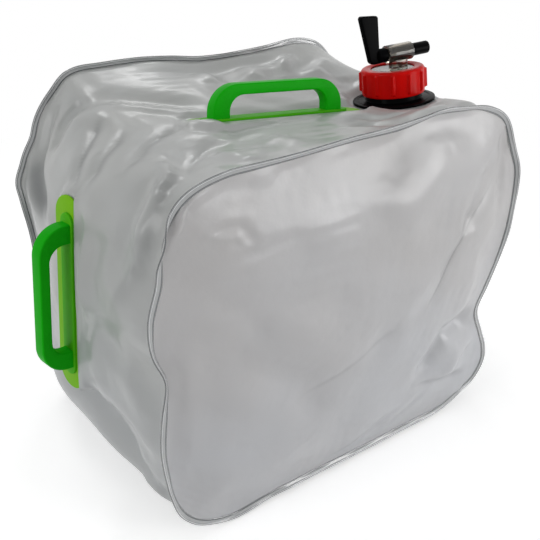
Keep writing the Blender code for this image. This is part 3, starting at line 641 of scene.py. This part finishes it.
def cubic_double(grid, axis, wrapped):
    """Put a point between each two along an axis, on a cubic through four of them."""
    g = np.moveaxis(grid, axis, 0)
    if wrapped:
        padded = np.concatenate([g[-1:], g, g[:2]])
    else:
        padded = np.concatenate([2 * g[:1] - g[1:2], g, 2 * g[-1:] - g[-2:-1]])
    middle = (9 * (padded[1:-2] + padded[2:-1]) - padded[:-3] - padded[3:]) / 16
    out = np.empty((len(g) + len(middle),) + g.shape[1:])
    out[0::2], out[1::2] = g, middle
    return np.moveaxis(out, 0, axis)


def double_both(grid):
    return cubic_double(cubic_double(grid, 1, False), 0, False)


def off_seam(rows, width):
    """Zero at the first and last of the strip's rows and one further in."""
    return smooth((1 - np.abs(np.linspace(-1, 1, rows))) / width)[:, None, None]


def build_film():
    """Points of the strip and of both panels, folded, settled as cloth and pressed to the fittings."""
    wrap = wrap_grid()
    panels = [panel_grid(wrap[0], -1), panel_grid(wrap[-1], 1)]
    broad = BROAD + handle_swells()
    shaped = stroke(wrap, outward(wrap, True), broad)
    wrap = wrap + (shaped - wrap) * off_seam(len(wrap), 0.12)
    edge = smooth(cells_in() / PANEL_FOLD_CELLS)[..., None]
    panels = [p + (stroke(p, outward(p, False, k), broad) - p) * edge for p, k in zip(panels, (-1, 1))]
    points, faces, maps = sim_mesh(wrap, panels)
    rows, columns = wrap.shape[:2]
    count = rows * columns
    in_wrap = np.arange(len(points)) < count
    pressed = iron(points[:count], IRON_REACH, True)
    points[:count] = iron(pressed, IRON_REACH, False)
    weights = np.full(len(points), PIN_SHARE)
    weights[:columns] = 1
    weights[count - columns : count] = 1
    for flange in FLANGES:
        distance, local, _ = footprint(points, flange)
        on_flange = (distance < PIN_MARGIN) & (np.abs(local[:, 2]) < PIN_HEIGHT)
        weights = np.where(on_flange & in_wrap, 1, weights)
    weights[(points[:, 2] < PIN_FLOOR) & in_wrap] = 1
    x, y, z = points.T
    ripple = waves(x + 0.7 * y, z - 0.6 * y, RIPPLE_SEED, 0.03, 0.09, 14)
    away = unit(points - np.array((0, 0, MID)))
    moved = points + away * (RIPPLE * ripple * (weights < 1))[:, None]
    moved = simulate(moved, faces, weights)
    wrap = moved[:count].reshape(rows, columns, 3)
    wrap = cubic_double(cubic_double(cubic_double(wrap, 1, True), 0, False), 0, False)
    panels = [double_both(moved[m]) for m in maps]
    panels = [stroke(p, outward(p, False, side), FINE) for p, side in zip(panels, (-1, 1))]
    for panel, rim in zip(panels, (wrap[0], wrap[-1])):
        fit_edges(panel, rim, 2)
    wrap = wrap + (stroke(wrap, outward(wrap, True), FINE) - wrap) * off_seam(len(wrap), 0.08)
    return raise_lips(iron(wrap, IRON_REACH_FINE, False)), [double_both(p) for p in panels]


def film_object(name, points, faces, attribute, values):
    """Closed smooth piece with one value for each of its points."""
    mesh = bpy.data.meshes.new(name)
    mesh.from_pydata(points.reshape(-1, 3).tolist(), [], faces.tolist())
    layer = mesh.attributes.new(attribute, "FLOAT", "POINT")
    layer.data.foreach_set("value", np.array(values, np.float32))
    bm = bmesh.new()
    bm.from_mesh(mesh)
    bmesh.ops.recalc_face_normals(bm, faces=bm.faces)
    bm.to_mesh(mesh)
    bm.free()
    mesh.shade_smooth()
    return new_object(name, mesh)


def shell(name, outer, normals, wrapped):
    """Closed thin body from an outer grid of points."""
    rows, columns = outer.shape[:2]
    inner = outer - normals * FILM
    count = rows * columns
    faces = grid_faces(rows, columns, wrapped)
    index = np.arange(count).reshape(rows, columns)
    if wrapped:
        lines = [index[0], index[-1][::-1]]
    else:
        lines = [np.concatenate([index[0], index[1:, -1], index[-1, -2::-1], index[-2:0:-1, 0]])]
    rims = []
    for line in lines:
        after = np.roll(line, -1)
        rims.append(np.stack([after, line, line + count, after + count], -1))
    everything = np.concatenate([faces, faces[:, ::-1] + count] + rims)
    points = np.concatenate([outer.reshape(-1, 3), inner.reshape(-1, 3)])
    # painted shade: how much darker the film is painted along creases and over shaded facets and hollows
    painted_shade = np.clip(marks(outer, normals, PAINTED_SHADE_MARKS), 0, 1).ravel()
    piece = film_object(name, points, everything, "painted_shade", np.tile(painted_shade, 2))
    piece.data.set_sharp_from_angle(angle=math.radians(60))
    return piece


def make_fin(name, rim, s, tilts, side):
    """Welded fin along a seam: a bead at its root, a thin web and a bead at its edge."""
    tangent = unit(np.roll(rim, -1, 0) - np.roll(rim, 1, 0))
    forward = np.tile((0.0, side, 0.0), (len(rim), 1))
    out = unit(np.cross(tangent, forward))
    if (out * (rim - rim.mean(0))).sum() < 0:
        out = -out
    wobble = FIN_WOBBLE * waves(s, s * 0, FIN_SEED, 0.02, 0.05, 5)
    tilt = np.radians(periodic(tilts, s) + wobble)[:, None]
    along = out * np.cos(tilt) + forward * np.sin(tilt)
    thick = forward * np.cos(tilt) - out * np.sin(tilt)
    profile = list(FIN_PROFILE) + [FIN_TIP] + [(a, -b, c) for a, b, c in FIN_PROFILE[::-1]]
    count = len(rim)
    rows = np.array([rim + along * a / 1000 + thick * b / 1000 for a, b, _ in profile])
    last = (len(profile) - 1) * count
    i = np.arange(count)
    n = (i + 1) % count
    closing = np.stack([last + i, last + n, n, i], -1)
    faces = np.concatenate([grid_faces(len(profile), count, True), closing])
    # the line values carry the fin's painted shade and painted highlight
    return film_object(name, rows, faces, "line", np.repeat([c for _, _, c in profile], count))


class Nodes:
    """The nodes of a material or world, in which a value that is a socket makes a link."""

    def __init__(self, owner):
        owner.use_nodes = True
        self.nodes, self.links = owner.node_tree.nodes, owner.node_tree.links
        self.place = None

    def fill(self, node, inputs):
        for key, value in inputs.items():
            if isinstance(value, bpy.types.NodeSocket):
                self.links.new(value, node.inputs[key])
            else:
                node.inputs[key].default_value = value
        return node

    def add(self, kind, inputs=None, **settings):
        node = self.nodes.new("ShaderNode" + kind)
        for key, value in settings.items():
            setattr(node, key, value)
        return self.fill(node, inputs or {})

    def spot(self):
        """Place on the object, in metres."""
        self.place = self.place or self.add("TexCoord")
        return self.place.outputs["Object"]

    def attribute(self, name):
        return self.add("Attribute", attribute_name=name).outputs["Fac"]

    def noise(self, scale, detail=2.0):
        return self.add("TexNoise", {"Scale": scale, "Detail": detail, "Vector": self.spot()}).outputs[0]

    def span(self, value, low, high, start=0.0, end=1.0, kind="LINEAR"):
        """Take start..end to low..high."""
        inputs = {"Value": value, "From Min": start, "From Max": end, "To Min": low, "To Max": high}
        return self.add("MapRange", inputs, interpolation_type=kind).outputs[0]

    def mix(self, share, first, second):
        """Mix two colours, each a tuple or a socket."""
        first, second = ((*c, 1) if isinstance(c, tuple) else c for c in (first, second))
        return self.add("Mix", {0: share, 6: first, 7: second}, data_type="RGBA").outputs[2]

    def bump(self, height, strength, distance, below=None):
        inputs = {"Strength": strength, "Distance": distance, "Height": height}
        if below:
            inputs["Normal"] = below
        return self.add("Bump", inputs).outputs[0]

    def mix_shaders(self, share, first, second):
        return self.add("MixShader", {0: share, 1: first, 2: second}).outputs[0]

    def seen_rays(self):
        """One for the rays that see the backdrop's own colour: camera, glossy and transmission rays."""
        path = self.add("LightPath").outputs
        total = path["Is Camera Ray"]
        for kind in ("Is Glossy Ray", "Is Transmission Ray"):
            total = self.add("Math", {0: total, 1: path[kind]}, operation="MAXIMUM").outputs[0]
        return total


def new_material(name):
    material = bpy.data.materials.new(name)
    graph = Nodes(material)
    return material, graph, graph.nodes["Principled BSDF"]


def weld_material(name):
    """Welded film, with painted shade as dark lines along a fin and a painted highlight as a light band on
    its edge bead.
    """
    material, graph, shader = new_material(name)
    tone = graph.add("ValToRGB", {"Fac": graph.attribute("line")})
    painted_tone_stops = tone.color_ramp.elements
    # painted highlight at 0, painted shade at 1, the film's own grey at 0.35
    painted_tone_stops[0].color = (0.78, 0.79, 0.80, 1)
    painted_tone_stops[1].color = (0.075, 0.085, 0.09, 1)
    painted_tone_stops.new(0.35).color = (0.40, 0.41, 0.415, 1)
    graph.fill(shader, {
        "IOR": 1.45, "Transmission Weight": 0.15, "Coat Weight": 1.0, "Coat Roughness": 0.06,
        "Base Color": tone.outputs["Color"], "Roughness": graph.span(graph.noise(120), 0.06, 0.22)})
    return material


def film_material(name, warm, cool_and_lit_below):
    """Translucent film: warm above and bluer and lighter below, the lighter part being painted light that
    evens out the lamps; cloudy; painted shade along its creases and shaded facets; faintly uneven.
    """
    material, graph, shader = new_material(name)

    def cloud(scale, detail, low, high):
        return graph.span(graph.noise(scale, detail), low, high, 0.3, 0.7)

    # painted light: towards the bottom the film turns to its bluer, lighter colour, which evens out the
    # fall of the lamps' light
    height = graph.add("SeparateXYZ", {0: graph.spot()}).outputs["Z"]
    low = graph.span(height, 0, 1, 0.24, 0.03, "SMOOTHSTEP")
    share = graph.add("Math", {0: low, 1: 0.6, 2: cloud(9, 3, 0, 0.45)}, operation="MULTIPLY_ADD")
    tone = graph.mix(share.outputs[0], warm, cool_and_lit_below)
    # painted shade: the film is mixed towards dark grey along its creases, shaded facets and hollows
    tone = graph.mix(graph.attribute("painted_shade"), tone, (0.10, 0.11, 0.115))
    soft = graph.bump(graph.noise(40, 2), 0.5, 0.0015)
    graph.fill(shader, {
        "IOR": 1.5, "Transmission Weight": 0.30, "Coat Weight": 0.35, "Coat Roughness": 0.2,
        "Base Color": tone, "Roughness": cloud(30, 4, 0.36, 0.52),
        "Normal": graph.bump(graph.noise(420, 2), 0.12, 0.0006, soft)})
    return material


def plastic(name, colour, roughness, level=0.25, thin_colour=None, transmission=0.0, bump=0.15):
    """Moulded plastic with slight clouding, satin patches and fine moulding grain."""
    material, graph, shader = new_material(name)

    def clouded(scale, tone, change):
        darker, lighter = (tuple(c * share for c in tone) for share in (1 - change, 1 + change))
        return graph.mix(graph.noise(scale, 3), darker, lighter)

    tone = clouded(60, colour, 0.12)
    if thin_colour:
        tone = graph.mix(graph.attribute("thin"), tone, clouded(35, thin_colour, 0.15))
    graph.fill(shader, {
        "IOR": 1.47, "Specular IOR Level": level, "Transmission Weight": transmission, "Base Color": tone,
        "Roughness": graph.span(graph.noise(150, 3), roughness * 0.8, roughness * 1.25),
        "Normal": graph.bump(graph.noise(1200, 2), bump, 0.0002)})
    return material


def make_camera():
    data = bpy.data.cameras.new("camera")
    data.sensor_width = SENSOR
    data.lens = FOCAL_PIXELS * SENSOR / IMAGE
    data.shift_x = -SHIFT_PIXELS[0] / IMAGE
    data.shift_y = SHIFT_PIXELS[1] / IMAGE
    data.clip_start = 0.01
    data.clip_end = 20
    camera = new_object("camera", data)
    axes = turn("Z", AZIMUTH) @ turn("X", 90 - ELEVATION) @ turn("Z", ROLL)
    camera.matrix_world = Matrix.Translation(AIM) @ axes @ Matrix.Translation((0, 0, DISTANCE))
    bpy.context.scene.camera = camera


def area_light(name, place, target, size, energy):
    data = bpy.data.lights.new(name, "AREA")
    data.shape = "RECTANGLE"
    data.size, data.size_y = size
    data.energy = energy
    light = new_object(name, data)
    light.location = place
    light.rotation_euler = (Vector(target) - light.location).to_track_quat("-Z", "Y").to_euler()


def make_world(level):
    """Plain white world that lights the object at a level and looks white."""
    world = bpy.data.worlds.new("world")
    bpy.context.scene.world = world
    graph = Nodes(world)
    white = (1, 1, 1, 1)
    lit = graph.fill(graph.nodes["Background"], {"Color": white, "Strength": level}).outputs[0]
    seen = graph.add("Background", {"Color": white}).outputs[0]
    graph.fill(graph.nodes["World Output"], {"Surface": graph.mix_shaders(graph.seen_rays(), lit, seen)})


def make_floor():
    """White floor that keeps the object's shadow near it and fades to plain white."""
    mesh = bpy.data.meshes.new("floor")
    r = FLOOR_REACH
    mesh.from_pydata([(-r, -r, 0), (r, -r, 0), (r, r, 0), (-r, r, 0)], [], [(0, 1, 2, 3)])
    floor = new_object("floor", mesh)
    floor.location.z = -0.0004
    material = bpy.data.materials.new("floor")
    graph = Nodes(material)
    graph.nodes.remove(graph.nodes["Principled BSDF"])
    matt = graph.add("BsdfDiffuse", {"Color": (0.8, 0.8, 0.8, 1)}).outputs[0]
    glow = graph.add("Emission", {"Strength": FLOOR_GLOW}).outputs[0]
    pale = graph.add("BsdfDiffuse", {"Color": (0.97, 0.97, 0.97, 1)}).outputs[0]
    both = graph.add("AddShader", {0: pale, 1: glow}).outputs[0]
    white = graph.add("Emission").outputs[0]
    length = graph.add("VectorMath", {0: graph.spot()}, operation="LENGTH").outputs["Value"]
    near = graph.mix_shaders(graph.span(length, 0, 1, *FLOOR_FADE, "SMOOTHSTEP"), both, white)
    surface = graph.mix_shaders(graph.seen_rays(), matt, near)
    graph.fill(graph.nodes["Material Output"], {"Surface": surface})
    mesh.materials.append(material)


def arc(centre, radius, start, end, steps):
    """Points on an arc from one angle to another, in degrees."""
    angles = np.radians(np.linspace(start, end, steps + 1))
    return [(centre[0] + radius * math.cos(a), centre[1] + radius * math.sin(a)) for a in angles]


def stadium(length, width):
    reach = (length - width) / 2
    return arc((reach, 0), width / 2, -90, 90, 24) + arc((-reach, 0), width / 2, 90, 270, 24)


def ring(bm, reach, angles, height):
    """Add a ring of points at distances from Z."""
    return [bm.verts.new((r * math.cos(a), r * math.sin(a), height)) for r, a in zip(reach, angles)]


def join(bm, part, matrix, thin):
    """Move a part's bmesh into another one and note how thin its plastic is."""
    bmesh.ops.recalc_face_normals(part, faces=part.faces)
    part.transform(matrix)
    layer = bm.verts.layers.float.get("thin") or bm.verts.layers.float.new("thin")
    made = {v: bm.verts.new(v.co) for v in part.verts}
    for v in made.values():
        v[layer] = thin
    for face in part.faces:
        bm.faces.new([made[v] for v in face.verts])
    part.free()


def add_extruded(bm, outline, bottom, top, edge, matrix=Matrix(), thin=0.0, segments=3):
    """Add an extruded outline with rounded long edges, in millimetres, to a bmesh."""
    part = bmesh.new()
    face = part.faces.new([part.verts.new((x, y, bottom)) for x, y in outline])
    made = bmesh.ops.extrude_face_region(part, geom=[face])
    lifted = [item for item in made["geom"] if isinstance(item, bmesh.types.BMVert)]
    bmesh.ops.translate(part, verts=lifted, vec=(0, 0, top - bottom))
    level = [e for e in part.edges if abs(e.verts[0].co.z - e.verts[1].co.z) < 1e-5]
    bmesh.ops.bevel(part, geom=level, offset=edge, segments=segments, profile=0.5, affect="EDGES")
    join(bm, part, matrix, thin)


def bridge(part, one, two):
    """Join two rings of points by faces."""
    for k in range(len(one)):
        n = (k + 1) % len(one)
        corners = list(dict.fromkeys((one[k], one[n], two[n], two[k])))
        if len(corners) > 2:
            part.faces.new(corners)


def add_turned(bm, profile, steps, matrix=Matrix(), bulge=None):
    """Add a closed profile of (radius, height), turned about Z and with a bulge, to a bmesh."""
    part = bmesh.new()
    angles = np.arange(steps) * 2 * math.pi / steps
    rings = []
    for radius, height in profile:
        if radius < 1e-6:
            rings.append([part.verts.new((0, 0, height))] * steps)
        else:
            reach = radius + (bulge(radius, angles, height) if bulge else 0 * angles)
            rings.append(ring(part, reach, angles, height))
    for one, two in zip(rings, rings[1:] + rings[:1]):
        bridge(part, one, two)
    join(bm, part, matrix, 0.0)


def add_thread(bm, radius, depth, low, high, inward=False):
    """Add a screw thread's ridge to a bmesh, sunk a little into the wall that carries it."""
    steps = 72
    turns = (high - low) / PITCH
    sign = -1 if inward else 1
    shape = ((-0.3, -1.25), (depth, -0.35), (depth, 0.35), (-0.3, 1.25))
    part = bmesh.new()
    rows = []
    for k in range(int(turns * steps) + 1):
        angle = 2 * math.pi * k / steps
        ease = float(smooth(min(k, turns * steps - k) / 12))
        height = low + PITCH * k / steps
        row = []
        for out, up in shape:
            reach = radius + sign * (out * ease if out > 0 else out)
            row += ring(part, [reach], [angle], height + up * (0.3 + 0.7 * ease))
        rows.append(row)
    for one, two in zip(rows, rows[1:]):
        bridge(part, one, two)
    part.faces.new(rows[0])
    part.faces.new(rows[-1])
    join(bm, part, Matrix(), 0.0)


def add_object(name, bm, matrix, material, body, node=None):
    """Make a piece from a bmesh in millimetres, in a frame, on a body."""
    bm.transform(matrix @ Matrix.Scale(0.001, 4))
    mesh = bpy.data.meshes.new(name)
    bm.to_mesh(mesh)
    bm.free()
    mesh.shade_smooth()
    mesh.set_sharp_from_angle(angle=math.radians(40))
    mesh.materials.append(material)
    thing = new_object(name, mesh)
    if node:
        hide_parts(node)
    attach(thing, body)
    return thing


def combine(base, changes):
    """Join bmeshes to a base, or cut them from it, and return the result."""
    things = []
    for bm in [base] + [change for _, change in changes]:
        mesh = bpy.data.meshes.new("helper")
        bm.to_mesh(mesh)
        bm.free()
        things.append(new_object("helper", mesh))
    for (operation, _), helper in zip(changes, things[1:]):
        modifier = things[0].modifiers.new(operation, "BOOLEAN")
        modifier.operation = operation
        modifier.solver = "EXACT"
        modifier.object = helper
    bpy.context.view_layer.update()
    graph = bpy.context.evaluated_depsgraph_get()
    result = bmesh.new()
    result.from_mesh(things[0].evaluated_get(graph).to_mesh())
    for thing in things:
        bpy.data.objects.remove(thing, do_unlink=True)
    return result


def make_handle(name, matrix, material):
    """Arch, pad and thin weld flange of a handle, as in the CAD source, with finer curves."""
    bm = bmesh.new()
    outline = [(55, 1.6)] + arc((34.5, 6.3), 20.5, 0, 90, 20) + arc((-34.5, 6.3), 20.5, 90, 180, 20)
    outline += [(-55, 1.6), (-41.2, 1.6)]
    outline += arc((-29.7, 7.5), 11.5, 180, 90, 16) + arc((29.7, 7.5), 11.5, 90, 0, 16) + [(41.2, 1.6)]
    add_extruded(bm, outline, -5.4, 5.4, 1.2, turn("X", 90), segments=4)
    add_extruded(bm, stadium(124, 14), 0.4, 3.2, 0.5, thin=0.35)
    add_extruded(bm, stadium(FLANGE_LENGTH, FLANGE_WIDTH), 0, 1.3, 0.3, thin=1.0)
    add_object(name + "_moulding", bm, matrix, material, "bag", name)


def rib_bulge(radius, angle, height):
    """How far the cap's grip ribs stand out, in millimetres."""
    step = 2 * math.pi / CAP_RIBS
    apart = np.abs(np.mod(angle - math.radians(RIB_TURN) + step / 2, step) - step / 2) * CAP_RADIUS
    across = 1 - ramp(apart, 0.25, 1.7)
    out = 2.0 - 0.2 * (height - 8.8) / 15.8
    return out * across * smooth(height - 8.6) * smooth(24.9 - height) * (radius > 25)


def make_cap(material):
    """Ring nut with a rounded shoulder, an open top and grip ribs that run into its wall."""
    wall = [(CAP_RADIUS, h) for h in np.linspace(7.4, 24.6, 24)]
    outer = [(24.0, 6.2), (24.8, 6.4), (25.1, 6.9)] + wall + arc((23.0, 24.6), 2.2, 0, 90, 8)[1:]
    inner = [(17.8, 26.8), (17.3, 26.4), (17.3, 24.9), (17.6, 24.4), (21.6, 24.4), (21.6, 6.6), (22.0, 6.2)]
    bm = bmesh.new()
    add_turned(bm, outer + inner, 480, bulge=rib_bulge)
    add_object("cap_nut", bm, SPOUT_FRAME, material, "cap", "cap_ring")
    bm = bmesh.new()
    add_thread(bm, 21.6, 0.4, 9.85, 22.3, inward=True)
    add_object("cap_thread", bm, SPOUT_FRAME, material, "cap")


def make_neck(material):
    """Weld flange and threaded neck of the spout."""
    bm = bmesh.new()
    add_turned(bm, [
        (18, 0), (32.9, 0), (33.1, 0.2), (33.1, 1.3), (32.8, 1.8), (32.2, 2), (23.6, 2), (22.9, 2.2),
        (22.5, 2.8), (22.5, 5.4), (22.3, 5.8), (21.9, 5.9), (NECK_RADIUS, 5.9), (NECK_RADIUS, 18.8),
        (20.8, 19.1), (20.4, 19.3), (18, 19.3)], 128)
    add_turned(bm, [(28.6, 1.9), (29.4, 1.9), (29.2, 2.25), (28.8, 2.25)], 128)
    add_object("neck_moulding", bm, SPOUT_FRAME, material, "bag", "spout_neck")
    bm = bmesh.new()
    add_thread(bm, NECK_RADIUS, 0.42, 7.6, 18.2)
    add_object("neck_thread", bm, SPOUT_FRAME, material, "bag")


def make_core(material):
    """Black core of the tap: plug, nozzle and lever in one."""
    bm = bmesh.new()
    add_turned(bm, [
        (0, -14.3), (4.3, -14.3), (5.2, -13.9), (5.6, -13), (5.6, -6.5), (5.2, -6.1), (5, -6.1), (5, 32.7),
        (4.8, 33.3), (4.3, 33.5), (2.9, 33.5), (2.5, 33.1), (2.5, 16), (0, 15)], 64, turn("Y", 90))
    lever = arc((-26.3, 30.3), 2.2, 90, 180, 8) + arc((-17.7, -1.1), 4.5, 180, 270, 12)
    lever += [(-12.6, -5.6)] + arc((-14.8, 29.1), 2.2, 0, 90, 8)
    add_extruded(bm, lever, -2.6, 2.6, 1.1, turn("X", 90), segments=4)
    along = SPOUT_FRAME @ turn("Z", TAP_TURN) @ Matrix.Translation((0, 0, TAP_HEIGHT / 1000))
    add_object("core_moulding", bm, along, material, "tap_core", "tap_core")


def make_tap(material):
    """Clear body of the tap, as in the CAD source, with finer curves and its bores."""
    disc, riser, barrel, bore, water = (bmesh.new() for _ in range(5))
    add_turned(disc, [
        (0, 21.7), (20.9, 21.7), (21.3, 22), (21.3, 23.8), (21, 24.1), (17, 24.1), (17, 25.4), (16.7, 25.7),
        (0, 25.7)], 128)
    upright = turn("Z", TAP_TURN) @ Matrix.Translation((RISER_AT, 0, 0))
    add_extruded(riser, stadium(16.5, 8.5), 23.5, TAP_HEIGHT, 0.2, upright, segments=2)
    across = turn("Z", TAP_TURN) @ Matrix.Translation((0, 0, TAP_HEIGHT)) @ turn("Y", 90)
    add_turned(barrel, [
        (0, -5.8), (6.6, -5.8), (6.9, -5.7), (7.0, -5.4), (7.0, 16.7), (6.9, 17.0), (6.6, 17.1), (0, 17.1)],
        96, across)
    add_turned(bore, [(0, -7.0), (5.3, -7.0), (5.3, 18.0), (0, 18.0)], 96, across)
    add_turned(water, [(0, 20.0), (2.5, 20.0), (2.5, TAP_HEIGHT), (0, TAP_HEIGHT)], 48, upright)
    body = combine(disc, [("UNION", riser), ("UNION", barrel), ("DIFFERENCE", bore), ("DIFFERENCE", water)])
    add_object("tap_moulding", body, SPOUT_FRAME, material, "tap", "tap_body")


def build_hard_pieces():
    green = plastic("handle_green", (0.007, 0.41, 0.005), 0.40, 0.05, (0.20, 0.52, 0.012))
    black = plastic("black_plastic", (0.002, 0.002, 0.0024), 0.22, 0.018)
    red = plastic("cap_red", (0.58, 0.003, 0.002), 0.20, 0.06)
    clear = plastic("clear_plastic", (0.44, 0.40, 0.34), 0.05, 0.35, transmission=0.97, bump=0.03)
    rubber = plastic("washer_white", (0.72, 0.71, 0.68), 0.6, 0.3)
    make_handle("top_handle", TOP_FRAME, green)
    make_handle("side_handle", SIDE_FRAME, green)
    make_cap(red)
    make_neck(black)
    make_core(black)
    make_tap(clear)
    bpy.data.objects["neck_washer"].material_slots[0].material = rubber


make_camera()
bpy.context.scene.view_settings.view_transform = "Standard"
make_world(0.40)
make_floor()
area_light("key", (1.00, -1.40, 0.43), (0, 0, 0.15), (1.1, 0.9), 15)
area_light("back", (0.60, 1.15, 1.05), (0, 0, 0.2), (0.30, 0.2), 1.3)
area_light("rim", (-0.15, 0.95, 1.55), (0, 0, 0.2), (0.45, 0.28), 3.6)
area_light("left", (-1.3, -0.1, 0.7), (0, 0, 0.15), (0.5, 0.8), 4.5)

# each film's second colour is its bluer lower tone, made lighter as painted light
strip_film = film_material("clear_strip", (0.52, 0.53, 0.515), (0.535, 0.555, 0.57))
panel_film = film_material("clear_panel", (0.575, 0.56, 0.555), (0.60, 0.61, 0.635))
weld = weld_material("welded_film")
wrap, panels = build_film()
normal = outward(wrap, True)
middle = len(wrap) // 2
halves = (
    ("film_wall_front", slice(0, middle + 1), "front_end", -0.036),
    ("film_wall_back", slice(middle, None), "back_end", 0.020),
)
for name, rows, end, start in halves:
    piece = shell(name, wrap[rows], normal[rows], True)
    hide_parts("wall_wrap")
    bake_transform(piece)
    piece.data.materials.append(strip_film)

s_fine = seam_samples()
s_fine = np.stack([s_fine, (s_fine + np.append(s_fine[1:], s_fine[0] + LOOP)) / 2], 1).ravel()
ends = (
    (-1, panels[0], wrap[0], FRONT_TILT, "front"),
    (1, panels[1], wrap[-1], BACK_TILT, "back"),
)
for side, panel, rim, tilts, name in ends:
    piece = shell(name + "_film", panel, outward(panel, False, side), False)
    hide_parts(name + "_panel")
    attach(piece, name + "_end")
    piece.data.materials.append(panel_film)
    fin = make_fin(name + "_fin", rim, s_fine, tilts, side)
    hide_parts(name + "_weld_seam")
    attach(fin, name + "_end")
    fin.data.materials.append(weld)

build_hard_pieces()
